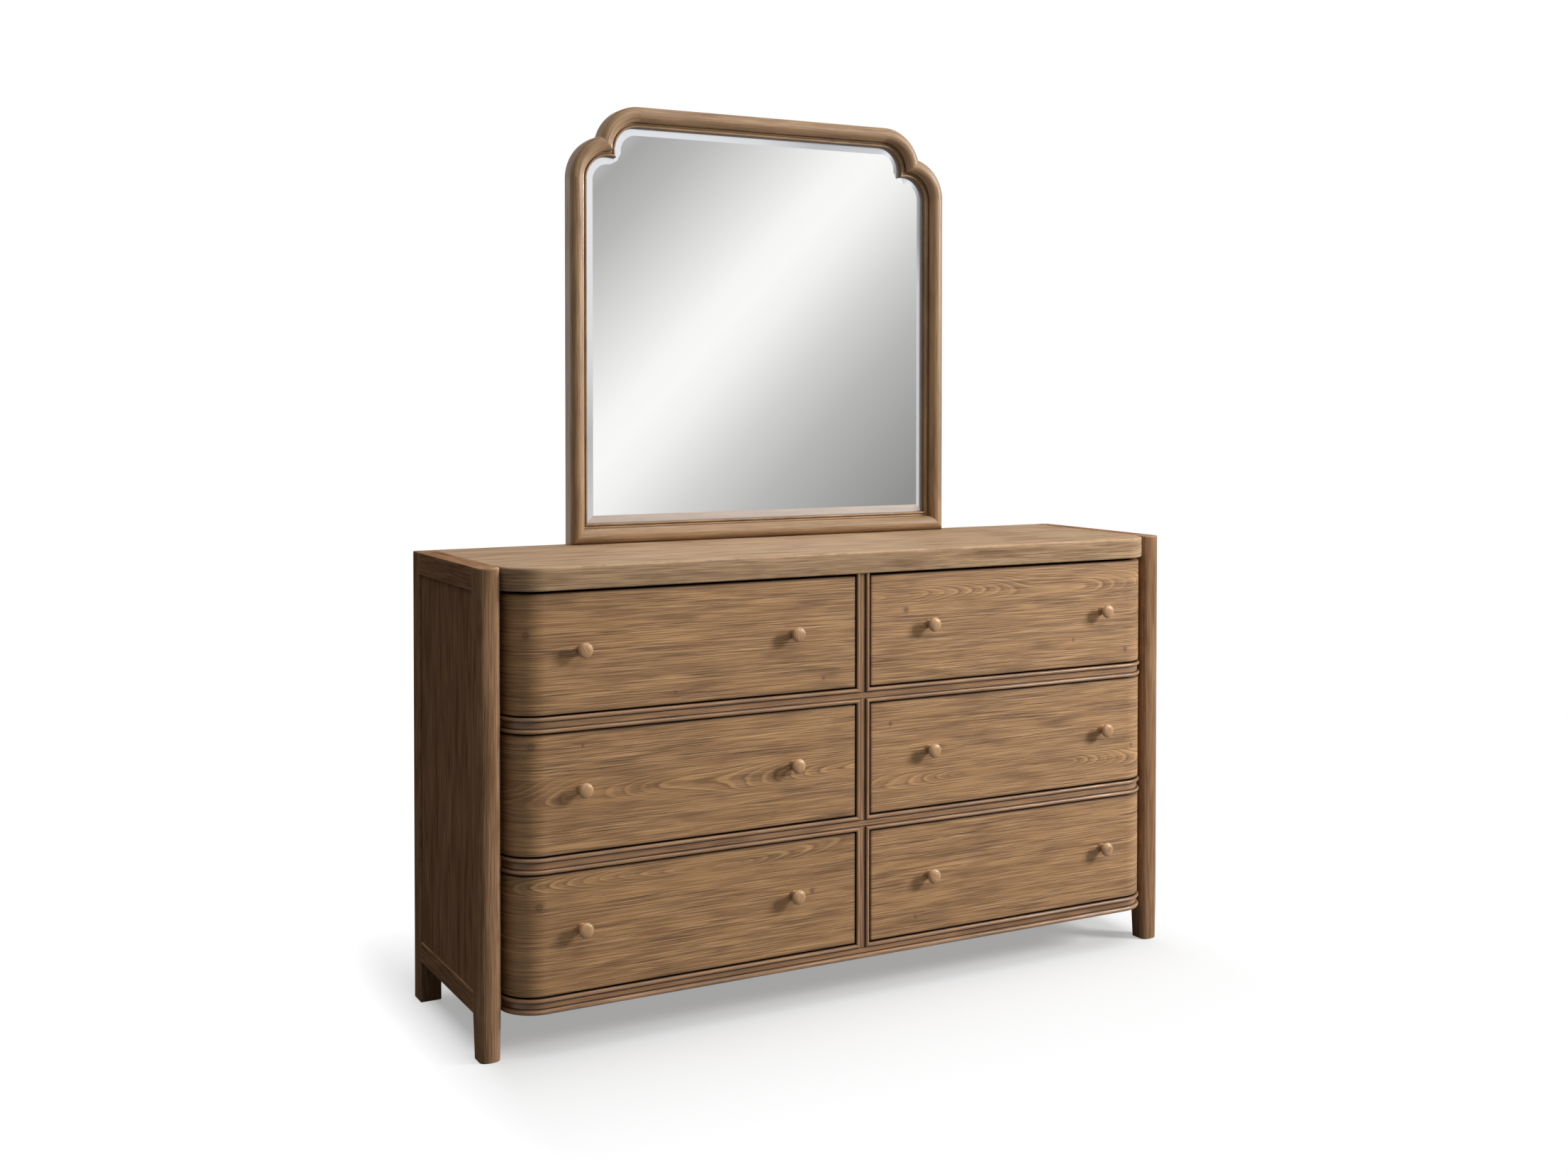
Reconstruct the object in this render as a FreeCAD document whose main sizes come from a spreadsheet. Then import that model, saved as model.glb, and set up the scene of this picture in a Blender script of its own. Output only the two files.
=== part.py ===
import FreeCAD, Part
import math
import os

import Sketcher
from FreeCAD import Placement, Rotation, Vector

# Dresser with mirror: a six-drawer pine dresser with rounded front corners and beaded
# rails between two leg frames, and a mirror in a moulded frame standing on its top.
# X runs along the width, -Y is the front and +Z is up. The origin is on the floor, in the
# middle of the width and halfway between the knob faces and the mirror supports.

doc = FreeCAD.newDocument("DresserWithMirror")
sheet = doc.addObject("Spreadsheet::Sheet", "Sizes")


class Size:
    """A length in mm together with the sheet formula that gives it."""

    def __init__(self, value, formula=None):
        self.value = float(value)
        self.formula = formula if formula else repr(self.value)

    def joined(self, other, sign, value):
        return Size(value, f"({self.formula} {sign} {other.formula})")

    def __add__(self, other):
        other = as_size(other)
        return self.joined(other, "+", self.value + other.value)

    def __sub__(self, other):
        other = as_size(other)
        return self.joined(other, "-", self.value - other.value)

    def __mul__(self, other):
        other = as_size(other)
        return self.joined(other, "*", self.value * other.value)

    def __truediv__(self, other):
        other = as_size(other)
        return self.joined(other, "/", self.value / other.value)

    def __radd__(self, other):
        return as_size(other) + self

    def __rsub__(self, other):
        return as_size(other) - self

    def __rmul__(self, other):
        return as_size(other) * self

    def __neg__(self):
        return Size(-self.value, f"(-1 * {self.formula})")

    def root(self):
        return Size(math.sqrt(self.value), f"sqrt({self.formula})")


def as_size(number):
    return number if isinstance(number, Size) else Size(number)


def driving(alias, value, meaning):
    """One driving dimension: a row of the sheet, returned as a Size."""
    driving.row += 1
    sheet.set(f"A{driving.row}", meaning)
    sheet.set(f"B{driving.row}", str(value))
    sheet.setAlias(f"B{driving.row}", alias)
    return Size(value, f"Sizes.{alias}")


driving.row = 0

# ---------------------------------------------------------------- driving dimensions

case_width = driving("case_width", 1676, "Overall width over the leg frames")
front_face = driving("front_face", 464, "Back plane of the case to the drawer faces")
base_clearance = driving("base_clearance", 88, "Floor to the underside of the base rail")
leg_width = driving("leg_width", 45, "Width of every leg")
rear_leg_depth = driving("rear_leg_depth", 44, "Depth of a rear leg")
front_leg_depth = driving("front_leg_depth", 46, "Depth of a front leg")
nose_radius = driving("nose_radius", 14, "Rounded corners of a front leg")
nose_dome = driving("nose_dome", 40, "Radius of the domed front of a leg")
foot_back = driving("foot_back", 5, "Front foot drawn in at the back by its taper")
foot_sides = driving("foot_sides", 1.5, "Front foot drawn in at its sides and nose")
foot_ease = driving("foot_ease", 3, "Eased edge under a foot")
corner_radius = driving("corner_radius", 72, "Rounded front corner at the drawer faces")
top_thickness = driving("top_thickness", 46, "Thickness of the top board")
top_overhang = driving("top_overhang", 7, "Top board beyond the drawer faces")
top_ease = driving("top_ease", 3, "Eased front edge of the top board")
rail_height = driving("rail_height", 32, "Height of a front rail and width of the stile")
rail_depth = driving("rail_depth", 82, "Front to back size of a front rail")
flat_sunk = driving("flat_sunk", 2, "Flat band of a rail behind the drawer faces")
bead_width = driving("bead_width", 9, "Width of the bead round each drawer opening")
base_bead = driving("base_bead", 11, "Width of the roll along the foot of the base rail")
bead_flats = driving("bead_flats", 5, "Flats that make up the round of a bead")
bead_proud = driving("bead_proud", 3, "Bead ahead of the drawer faces")
quirk = driving("quirk", 1.2, "Width and depth of the small groove beside a bead")
drawer_height = driving("drawer_height", 235, "Height of a drawer front")
drawer_gap = driving("drawer_gap", 3, "Gap round a drawer front")
top_gap = driving("top_gap", 6, "Gap between the upper drawers and the top board")
side_rail_height = driving("side_rail_height", 42, "Height of a lower side rail")
panel_thickness = driving("panel_thickness", 14, "Thickness of a side panel")
panel_recess = driving("panel_recess", 4, "Side panel behind the face of its frame")
groove_depth = driving("groove_depth", 10, "Depth of the panel grooves")
back_thickness = driving("back_thickness", 6, "Thickness of the back panel")
back_inset = driving("back_inset", 4, "Back panel inside the back plane")
back_rail_height = driving("back_rail_height", 40, "Height of a back rail")
back_rail_depth = driving("back_rail_depth", 22, "Thickness of a back rail")
partition_thickness = driving("partition_thickness", 18, "Thickness of the centre partition")
runner_width = driving("runner_width", 40, "Width of a drawer runner")
runner_lift = driving("runner_lift", 2.5, "Runner top above the rail in front of it")
guide_height = driving("guide_height", 18, "Height of the guide strip on a runner")
guide_gap = driving("guide_gap", 1, "Sideways play between a drawer and its guide")
box_gap = driving("box_gap", 14, "Space beside a drawer box")
side_thickness = driving("side_thickness", 15, "Thickness of a drawer side")
box_drop = driving("box_drop", 8, "Drawer sides below the top of the front")
bottom_thickness = driving("bottom_thickness", 6, "Thickness of a drawer bottom")
bottom_rise = driving("bottom_rise", 12, "Drawer bottom above the lower edge of its sides")
bottom_groove = driving("bottom_groove", 6, "Depth of the groove that holds the bottom")
back_board = driving("back_board", 12, "Thickness of a drawer back")
box_rear = driving("box_rear", 36, "Back plane of the case to the rear end of a drawer")
front_thickness = driving("front_thickness", 22, "Thickness of a drawer front")
knob_reach = driving("knob_reach", 28, "Knob beyond the drawer face")
knob_head = driving("knob_head", 31, "Diameter of a knob")
knob_neck = driving("knob_neck", 15, "Diameter of a knob neck")
knob_foot = driving("knob_foot", 19, "Diameter of a knob foot")
knob_flats = driving("knob_flats", 16, "Flats that make up the round of a knob")
knob_ease = driving("knob_ease", 4.2, "Eased edges of a knob head")
knob_rise = driving("knob_rise", 124, "Knob above the lower edge of the drawer front")
knob_near = driving("knob_near", 168, "Inner knob from the middle of the dresser")
knob_far = driving("knob_far", 641, "Outer knob from the middle of the dresser")
cleat_thickness = driving("cleat_thickness", 12, "Thickness of a cleat under the top board")
mirror_width = driving("mirror_width", 982, "Overall width of the mirror frame")
mirror_height = driving("mirror_height", 978, "Height of the mirror above the top board")
member_side = driving("member_side", 25, "Flat outer side of the mirror frame")
torus_radius = driving("torus_radius", 17, "Large half-round of the mirror moulding")
torus_flats = driving("torus_flats", 10, "Flats that make up the large half-round")
torus_foot = driving("torus_foot", 19, "Back of the frame to the inner foot of the half-round")
fillet_width = driving("fillet_width", 5.5, "Sloping fillet beside the half-round")
fillet_low = driving("fillet_low", 16, "Back of the frame to the low edge of the fillet")
lip_radius = driving("lip_radius", 2.75, "Small bead at the sight edge")
lip_seat = driving("lip_seat", 18, "Back of the frame to the foot of the small bead")
rabbet_width = driving("rabbet_width", 8, "Rabbet that holds the glass")
rabbet_depth = driving("rabbet_depth", 9, "Depth of the rabbet from the back")
shoulder_radius = driving("shoulder_radius", 99, "Radius of each arc of a mirror shoulder")
shoulder_step = driving("shoulder_step", 68, "Step between the two arcs of a shoulder")
glass_thickness = driving("glass_thickness", 4, "Thickness of the mirror glass")
glass_play = driving("glass_play", 1, "Play of the glass in its rabbet")
bevel_width = driving("bevel_width", 24, "Width of the bevel on the glass")
bevel_drop = driving("bevel_drop", 1.6, "Glass lost at the edge by the bevel")
support_width = driving("support_width", 60, "Width of a mirror support")
support_thickness = driving("support_thickness", 19, "Thickness of a mirror support")
support_spread = driving("support_spread", 300, "Mirror support from the middle")
support_low = driving("support_low", 700, "Floor to the lower end of a mirror support")
screw_head = driving("screw_head", 9, "Diameter of a screw head")
screw_shank = driving("screw_shank", 4.5, "Diameter of a screw shank")
screw_length = driving("screw_length", 46, "Length of a screw under its head")
doc.recompute()

# ---------------------------------------------------------------- worked-out dimensions

nothing = Size(0)
half_width = case_width / 2
inner_face = half_width - leg_width
row_pitch = rail_height + drawer_height + 2 * drawer_gap
case_height = base_clearance + 3 * row_pitch + top_gap - drawer_gap + top_thickness
top_underside = case_height - top_thickness
corner_centre = inner_face - corner_radius - top_overhang
corner_depth = front_face - corner_radius
back_plane = (front_face + knob_reach - support_thickness) / 2
flat_face = front_face - flat_sunk
rail_back = flat_face - rail_depth
front_leg_back = corner_depth - 4
half_stile = rail_height / 2
half_partition = partition_thickness / 2
mirror_top = case_height + mirror_height
mirror_half = mirror_width / 2
member_width = 2 * torus_radius + fillet_width + 2 * lip_radius


def ahead(distance):
    """Y of a plane the given distance ahead of the back plane of the case."""
    return back_plane - distance


# ---------------------------------------------------------------- sketch and feature helpers


def bind(thing, path, size):
    thing.setExpression(path, as_size(size).formula)


def name_node(thing, label):
    thing.Label = label
    return thing


def plane_of(body, role):
    for feature in body.Origin.OriginFeatures:
        if feature.Role == role:
            return feature
    raise ValueError(role)


def new_body(label):
    return name_node(doc.addObject("PartDesign::Body", label), label)


def new_sketch(body, name, role, shift=(0, 0, 0)):
    """An empty sketch on an origin plane of the body, moved by shift in its own axes."""
    sketch = body.newObject("Sketcher::SketchObject", f"{body.Name}_{name}")
    sketch.AttachmentSupport = [(plane_of(body, role), "")]
    sketch.MapMode = "FlatFace"
    for axis, size in zip("xyz", shift):
        bind(sketch, f"AttachmentOffset.Base.{axis}", size)
    return sketch


def arc_through(start, middle, end, radius):
    """The sketch arc from start by way of middle to end, and whether it runs clockwise."""
    chord = end - start
    half = chord.Length / 2
    turn = (middle - start).cross(end - middle).z
    rise = math.sqrt(max(radius * radius - half * half, 0))
    side = Vector(-chord.y, chord.x, 0).normalize()
    # the centre lies left of the chord for a counter-clockwise arc of up to half a turn
    bulge = (middle - (start + end) / 2).Length
    sign = 1 if turn > 0 else -1
    if bulge > radius:
        sign = -sign
    centre = (start + end) / 2 + side * (rise * sign)
    first, last = (start, end) if turn > 0 else (end, start)
    angles = [math.atan2(point.y - centre.y, point.x - centre.x) for point in (first, last)]
    circle = Part.Circle(centre, Vector(0, 0, 1), radius)
    return Part.ArcOfCircle(circle, angles[0], angles[1]), turn < 0


def draw(sketch, corners, closed=True):
    """Lines and arcs through the corners, each bound to the sheet.

    A corner is (x, y), or (x, y, (middle x, middle y, radius)) when an arc leaves it.
    """
    points = [Vector(as_size(c[0]).value, as_size(c[1]).value, 0) for c in corners]
    count = len(corners) if closed else len(corners) - 1
    first_end = []
    for i in range(count):
        start, end = points[i], points[(i + 1) % len(points)]
        if len(corners[i]) == 3:
            middle_x, middle_y, radius = corners[i][2]
            middle = Vector(as_size(middle_x).value, as_size(middle_y).value, 0)
            arc, clockwise = arc_through(start, middle, end, radius.value)
            index = sketch.addGeometry(arc, False)
            first_end.append((index, 2, 1) if clockwise else (index, 1, 2))
        else:
            index = sketch.addGeometry(Part.LineSegment(start, end), False)
            first_end.append((index, 1, 2))
    for i in range(count if closed else count - 1):
        here, after = first_end[i], first_end[(i + 1) % count]
        sketch.addConstraint(Sketcher.Constraint("Coincident", here[0], here[2], after[0], after[1]))
    for i in range(len(corners)):
        if i < count:
            geometry, end = first_end[i][0], first_end[i][1]
        else:
            geometry, end = first_end[-1][0], first_end[-1][2]
        hold(sketch, "DistanceX", geometry, end, as_size(corners[i][0]))
        hold(sketch, "DistanceY", geometry, end, as_size(corners[i][1]))
    for i in range(count):
        if len(corners[i]) == 3:
            geometry, radius = first_end[i][0], corners[i][2][2]
            number = sketch.addConstraint(Sketcher.Constraint("Radius", geometry, radius.value))
            sketch.setExpression(f"Constraints[{number}]", radius.formula)
    return sketch


def hold(sketch, kind, geometry, end, size):
    """Fix one coordinate of a sketch point at a size from the origin."""
    if size.value == 0:
        axis = -2 if kind == "DistanceX" else -1
        sketch.addConstraint(Sketcher.Constraint("PointOnObject", geometry, end, axis))
        return
    number = sketch.addConstraint(Sketcher.Constraint(kind, -1, 1, geometry, end, size.value))
    sketch.setExpression(f"Constraints[{number}]", size.formula)


def pad(body, sketch, length, name="Pad"):
    feature = body.newObject("PartDesign::Pad", f"{body.Name}_{name}")
    feature.Profile = sketch
    bind(feature, "Length", length)
    body.Tip = feature
    return feature


def pocket(body, sketch, length, name="Pocket", reverse=False):
    """Cut a sketch away, and check that the cut takes wood."""
    doc.recompute()
    before = body.Shape.Volume
    feature = body.newObject("PartDesign::Pocket", f"{body.Name}_{name}")
    feature.Profile = sketch
    bind(feature, "Length", length)
    feature.Reversed = reverse
    body.Tip = feature
    doc.recompute()
    if body.Shape.Volume > before - 1:
        raise ValueError(f"{body.Label}: {name} cuts nothing")
    return feature


def ease_edges(body, size, chosen):
    """Chamfer the edges of the body that the test picks."""
    doc.recompute()
    base = body.Tip
    edges = [f"Edge{i + 1}" for i, edge in enumerate(base.Shape.Edges) if chosen(edge)]
    feature = body.newObject("PartDesign::Chamfer", f"{body.Name}_Eased")
    feature.Base = (base, edges)
    bind(feature, "Size", size)
    body.Tip = feature
    return feature


def is_sole_edge(edge):
    return edge.BoundBox.ZMax < 0.1


def board(label, x, y, z):
    """A flat board; x, y and z are each a pair of its two faces in that direction."""
    box = doc.addObject("Part::Box", label)
    for side, axis, (low, high) in zip(("Length", "Width", "Height"), "xyz", (x, y, z)):
        low, high = as_size(low), as_size(high)
        bind(box, side, high - low)
        bind(box, f"Placement.Base.{axis}", low)
    return name_node(box, label)


def mirrored(label, source):
    """The same piece on the right of the dresser."""
    twin = doc.addObject("Part::Mirroring", label)
    twin.Source = source
    twin.Normal = Vector(1, 0, 0)
    return name_node(twin, label)


def group(label, members):
    """Several separate solids of one kind kept as one node."""
    together = doc.addObject("Part::Compound", label)
    together.Links = members
    return name_node(together, label)


def joined(label, members):
    fusion = doc.addObject("Part::MultiFuse", label)
    fusion.Shapes = members
    return name_node(fusion, label)


nodes = []


def both_sides(stem, left):
    """Keep a left-hand piece and its right-hand twin as two nodes."""
    left.Label = f"{stem}_left"
    nodes.extend([left, mirrored(f"{stem}_right", left)])


# ---------------------------------------------------------------- leg frames

panel_outer = -half_width + panel_recess
panel_inner = panel_outer + panel_thickness
panel_low = base_clearance + side_rail_height - groove_depth
panel_high = top_underside + groove_depth
front_leg_front = front_leg_back + front_leg_depth

# Front leg: a post with a flat outer side, rounded front corners and a slightly domed
# front, flush with the top board. Below the base rail the foot draws in, mostly at its
# back. The rear face is grooved for the side panel.
leg = new_body("front_leg_left")
leg_middle = -half_width + leg_width / 2


def leg_plan(side_inset, back_inset):
    """Corners of the front leg in plan, drawn in at the sides and nose and at the back."""
    half = leg_width / 2 - side_inset
    nose = front_leg_front - side_inset
    rise_full = nose_dome - nose_radius
    aside = half - nose_radius
    rise = (rise_full * rise_full - aside * aside).root()
    shoulder_depth = nose - nose_dome + rise
    meet = nose_dome / rise_full
    meet_x, meet_depth = aside * meet, nose - nose_dome + rise * meet
    turn_x, turn_depth = half - nose_radius * 0.3, shoulder_depth + nose_radius * 0.7
    back = front_leg_back + back_inset
    return [
        (leg_middle - half, ahead(back)),
        (leg_middle - half, ahead(shoulder_depth), (
            leg_middle - turn_x, ahead(turn_depth), nose_radius)),
        (leg_middle - meet_x, ahead(meet_depth), (leg_middle, ahead(nose), nose_dome)),
        (leg_middle + meet_x, ahead(meet_depth), (
            leg_middle + turn_x, ahead(turn_depth), nose_radius)),
        (leg_middle + half, ahead(shoulder_depth)),
        (leg_middle + half, ahead(back)),
    ]


plan = new_sketch(leg, "Plan", "XY_Plane", (0, 0, base_clearance))
draw(plan, leg_plan(nothing, nothing))
pad(leg, plan, case_height - base_clearance, "Post")
foot_top = new_sketch(leg, "FootTop", "XY_Plane", (0, 0, base_clearance))
draw(foot_top, leg_plan(nothing, nothing))
foot_sole = new_sketch(leg, "FootSole", "XY_Plane")
draw(foot_sole, leg_plan(foot_sides, foot_back))
foot = leg.newObject("PartDesign::AdditiveLoft", "front_leg_left_Foot")
foot.Profile = foot_top
foot.Sections = [(foot_sole, [""])]
foot.Ruled = True
leg.Tip = foot
panel_seat = new_sketch(leg, "PanelSeat", "XY_Plane", (0, 0, panel_low))
draw(panel_seat, [
    (panel_outer, ahead(front_leg_back)),
    (panel_outer, ahead(front_leg_back + groove_depth)),
    (panel_inner, ahead(front_leg_back + groove_depth)),
    (panel_inner, ahead(front_leg_back)),
])
pocket(leg, panel_seat, panel_high - panel_low, "PanelGroove", reverse=True)
ease_edges(leg, foot_ease, is_sole_edge)
both_sides("front_leg", leg)

# Rear leg: a plain square post, grooved on its front face for the side panel.
rear_leg = new_body("rear_leg_left")
square = draw(new_sketch(rear_leg, "Plan", "XY_Plane"), [
    (-half_width, ahead(0)),
    (-half_width, ahead(rear_leg_depth)),
    (-inner_face, ahead(rear_leg_depth)),
    (-inner_face, ahead(0)),
])
pad(rear_leg, square, case_height, "Post")
panel_seat = draw(new_sketch(rear_leg, "PanelSeat", "XY_Plane", (0, 0, panel_low)), [
    (panel_outer, ahead(rear_leg_depth)),
    (panel_outer, ahead(rear_leg_depth - groove_depth)),
    (panel_inner, ahead(rear_leg_depth - groove_depth)),
    (panel_inner, ahead(rear_leg_depth)),
])
pocket(rear_leg, panel_seat, panel_high - panel_low, "PanelGroove", reverse=True)
ease_edges(rear_leg, foot_ease, is_sole_edge)
both_sides("rear_leg", rear_leg)


def side_rail(stem, low, high, groove_from):
    """A rail between the legs of one side, with the panel groove in its inner edge."""
    rail = new_body(f"{stem}_left")
    face = draw(new_sketch(rail, "Section", "XZ_Plane", (0, 0, -ahead(rear_leg_depth))), [
        (-half_width, low),
        (-inner_face, low),
        (-inner_face, high),
        (-half_width, high),
    ])
    pad(rail, face, front_leg_back - rear_leg_depth, "Rail")
    seat = draw(new_sketch(rail, "PanelSeat", "XZ_Plane", (0, 0, -ahead(rear_leg_depth))), [
        (panel_outer, groove_from),
        (panel_inner, groove_from),
        (panel_inner, groove_from + groove_depth),
        (panel_outer, groove_from + groove_depth),
    ])
    pocket(rail, seat, front_leg_back - rear_leg_depth, "PanelGroove", reverse=True)
    both_sides(stem, rail)


# The upper rail of each side lies flush beside the top board.
side_rail("side_top_rail", top_underside, case_height, top_underside)
side_rail("side_bottom_rail", base_clearance, base_clearance + side_rail_height, panel_low)

# Side panel: a flat board let into the grooves of both legs and both rails.
both_sides("side_panel", board(
    "side_panel_left",
    (panel_outer, panel_inner),
    (ahead(front_leg_back + groove_depth), ahead(rear_leg_depth - groove_depth)),
    (panel_low, panel_high),
))

# ---------------------------------------------------------------- top board


def corner_middle(radius):
    """Middle of the left front corner arc at the given radius, as X and Y."""
    reach = radius * math.sqrt(0.5)
    return -corner_centre - reach, ahead(corner_depth + reach)


# Top board: lies between the leg frames and reaches over the drawer faces.
# Its front corners follow the case and its front edges are eased.
top_radius = corner_radius + top_overhang
top_front = front_face + top_overhang
top = new_body("top_board")
left_x, left_y = corner_middle(top_radius)
top_plan = draw(new_sketch(top, "Plan", "XY_Plane", (0, 0, top_underside)), [
    (-inner_face, ahead(0)),
    (-inner_face, ahead(corner_depth), (left_x, left_y, top_radius)),
    (-corner_centre, ahead(top_front)),
    (corner_centre, ahead(top_front), (-left_x, left_y, top_radius)),
    (inner_face, ahead(corner_depth)),
    (inner_face, ahead(0)),
])
pad(top, top_plan, top_thickness, "Board")


def on_front_edge(edge):
    """Long edges round the front of a board, above and below, with its corners."""
    box = edge.BoundBox
    level = box.ZLength < 0.1
    return level and box.YMin < ahead(corner_depth).value - 1 and box.XLength > 1


ease_edges(top, top_ease, on_front_edge)
nodes.append(top)

# ---------------------------------------------------------------- beaded front rails


def half_round(start, width, seat, flats):
    """Corners of a half-round on a section, as flats, from its start across its width."""
    count = int(flats.value)
    corners = []
    for i in range(count + 1):
        turn = math.pi * i / count
        across = start + width / 2 * (1 - math.cos(turn))
        corners.append((across, seat + width / 2 * math.sin(turn)))
    return corners


def beaded_section(depth, first_width=bead_width):
    """Corners of a rail section: a flat band between two beads, each beside a small groove.

    Each corner is (across, outward) with outward counted from the flat band.
    """
    seat = flat_sunk + bead_proud - bead_width / 2
    second = rail_height - bead_width
    return [
        (nothing, -depth),
        *half_round(nothing, first_width, seat, bead_flats),
        (first_width, -quirk),
        (first_width + quirk, -quirk),
        (first_width + quirk, nothing),
        (second - quirk, nothing),
        (second - quirk, -quirk),
        (second, -quirk),
        *half_round(second, bead_width, seat, bead_flats),
        (rail_height, -depth),
    ]


def placed(section, change):
    """The section's corners moved to sketch coordinates."""
    return [change(across, out) for across, out in section]


flat_radius = corner_radius - flat_sunk
core_inset = Size(12)
core_radius = flat_radius - core_inset
ear_depth = corner_depth + drawer_gap * 3


def front_rail(label, low, notches, first_width=bead_width):
    """A beaded rail across the front, curved back to the legs at both ends.

    The notches are where the mitred ends of the centre stile let in: "low", "high" or both.
    """
    rail = new_body(label)
    bind(rail, "Placement.Base.z", low)
    # the core fills the corner and reaches the inner faces of the front legs
    core_x, core_y = corner_middle(core_radius)
    end_x = corner_centre + core_radius
    core = draw(new_sketch(rail, "CorePlan", "XY_Plane"), [
        (-inner_face, ahead(rail_back)),
        (-inner_face, ahead(ear_depth)),
        (-inner_face + drawer_gap * 3, ahead(ear_depth)),
        (-end_x, ahead(corner_depth), (core_x, core_y, core_radius)),
        (-corner_centre, ahead(flat_face - core_inset)),
        (corner_centre, ahead(flat_face - core_inset), (-core_x, core_y, core_radius)),
        (end_x, ahead(corner_depth)),
        (inner_face - drawer_gap * 3, ahead(ear_depth)),
        (inner_face, ahead(ear_depth)),
        (inner_face, ahead(rail_back)),
    ])
    pad(rail, core, rail_height, "Core")
    # the moulded face runs round both corners in one length
    start_x = corner_centre + flat_radius
    flat_x, flat_y = corner_middle(flat_radius)
    path = draw(new_sketch(rail, "Path", "XY_Plane"), [
        (-start_x, ahead(corner_depth), (flat_x, flat_y, flat_radius)),
        (-corner_centre, ahead(flat_face)),
        (corner_centre, ahead(flat_face), (-flat_x, flat_y, flat_radius)),
        (start_x, ahead(corner_depth)),
    ], closed=False)
    face = draw(
        new_sketch(rail, "Section", "XZ_Plane", (0, 0, -ahead(corner_depth))),
        placed(beaded_section(core_inset + 2, first_width), lambda across, out: (
            -start_x - out, across
        )),
    )
    moulding = rail.newObject("PartDesign::AdditivePipe", f"{label}_Moulding")
    moulding.Profile = face
    moulding.Spine = path
    rail.Tip = moulding
    for where in notches:
        edge = rail_height if where == "high" else nothing
        inward = -bead_width if where == "high" else bead_width
        notch = draw(
            new_sketch(rail, f"Notch{where}", "XZ_Plane", (0, 0, -ahead(rail_back))),
            [
                (-half_stile, edge),
                (-half_stile + bead_width, edge + inward),
                (half_stile - bead_width, edge + inward),
                (half_stile, edge),
            ],
        )
        pocket(rail, notch, rail_depth + 10, f"StileNotch{where}", reverse=True)
    nodes.append(rail)
    return rail


base_rail_top = base_clearance + rail_height
front_rail("base_rail", base_clearance, ["high"], base_bead)
front_rail("lower_rail", base_clearance + row_pitch, ["low", "high"])
front_rail("upper_rail", base_clearance + 2 * row_pitch, ["low", "high"])


def stile(label, low, high, top_mitre):
    """One length of the centre stile, with its beads mitred into the rails."""
    piece = new_body(label)
    start = low - bead_width
    end = high + bead_width if top_mitre else high
    section = draw(
        new_sketch(piece, "Section", "XY_Plane", (0, 0, start)),
        placed(beaded_section(rail_depth), lambda across, out: (
            across - half_stile, ahead(flat_face + out)
        )),
    )
    pad(piece, section, end - start, "Stile")
    tips = [(start, low)] + ([(end, high)] if top_mitre else [])
    for tip, root in tips:
        for side in (-1, 1):
            mitre = draw(
                new_sketch(piece, f"Mitre{len(piece.Group)}", "XZ_Plane", (0, 0, -ahead(rail_back))),
                [
                    (half_stile * side, root),
                    ((half_stile - bead_width) * side, tip),
                    (half_stile * side, tip),
                ],
            )
            pocket(piece, mitre, rail_depth + 10, f"MitreCut{len(piece.Group)}", reverse=True)
    return piece


stiles = []
for row in range(3):
    opening_low = base_rail_top + row * row_pitch
    is_top = row == 2
    opening_high = top_underside if is_top else opening_low + row_pitch - rail_height
    stiles.append(stile(f"stile_{row + 1}", opening_low, opening_high, not is_top))
nodes.append(group("centre_stiles", stiles))

# ---------------------------------------------------------------- inside of the case

back_face = back_inset + back_thickness
rear_rail_front = back_face + back_rail_depth

nodes.append(board(
    "centre_partition",
    (-half_partition, half_partition),
    (ahead(rail_back), ahead(rear_rail_front)),
    (base_clearance, top_underside),
))
nodes.append(board(
    "back_panel",
    (-inner_face, inner_face),
    (ahead(back_face), ahead(back_inset)),
    (base_clearance, top_underside),
))

# Back rails: one along the foot of the back and one under the top board.
back_rails = []
for name, low in (("back_rail_low", base_clearance), ("back_rail_high", top_underside - back_rail_height)):
    back_rails.append(board(
        name,
        (-inner_face, inner_face),
        (ahead(rear_rail_front), ahead(back_face)),
        (low, low + back_rail_height),
    ))
nodes.append(group("back_rails", back_rails))

# Runners carry the lower edges of the drawer sides and guide strips keep them straight.
# The runner above a drawer also stops it from tipping.
outer_guide = box_gap - guide_gap
inner_guide = half_stile + drawer_gap * 3 - half_partition - guide_gap
box_inner = half_stile + drawer_gap * 3
box_outer = inner_face - box_gap
runners = []
for row in range(3):
    rail_top = base_rail_top + row * row_pitch
    low, high = rail_top - rail_height + runner_lift, rail_top + runner_lift
    span = (ahead(rail_back), ahead(rear_rail_front))
    for side, wall, away in (("outer", -inner_face, 1), ("inner", -half_partition, -1)):
        guide = outer_guide if side == "outer" else inner_guide
        edges = [wall, wall + runner_width * away]
        rib = [wall, wall + guide * away]
        edges.sort(key=lambda size: size.value)
        rib.sort(key=lambda size: size.value)
        flat = board(f"runner_{side}_{row + 1}", edges, span, (low, high))
        strip = board(f"guide_{side}_{row + 1}", rib, span, (high, high + guide_height))
        for piece in (flat, strip):
            runners.extend([piece, mirrored(f"{piece.Name}_right", piece)])
nodes.append(group("drawer_runners", runners))

# Cleats screw the top board down and keep the upper drawers from tipping.
cleats = []
for side, low in (("outer", -inner_face), ("inner", -half_partition - runner_width)):
    piece = board(
        f"cleat_{side}",
        (low, low + runner_width),
        (ahead(rail_back), ahead(rear_rail_front)),
        (top_underside - cleat_thickness, top_underside),
    )
    cleats.extend([piece, mirrored(f"cleat_{side}_right", piece)])
nodes.append(group("top_cleats", cleats))

# ---------------------------------------------------------------- drawers

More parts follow.
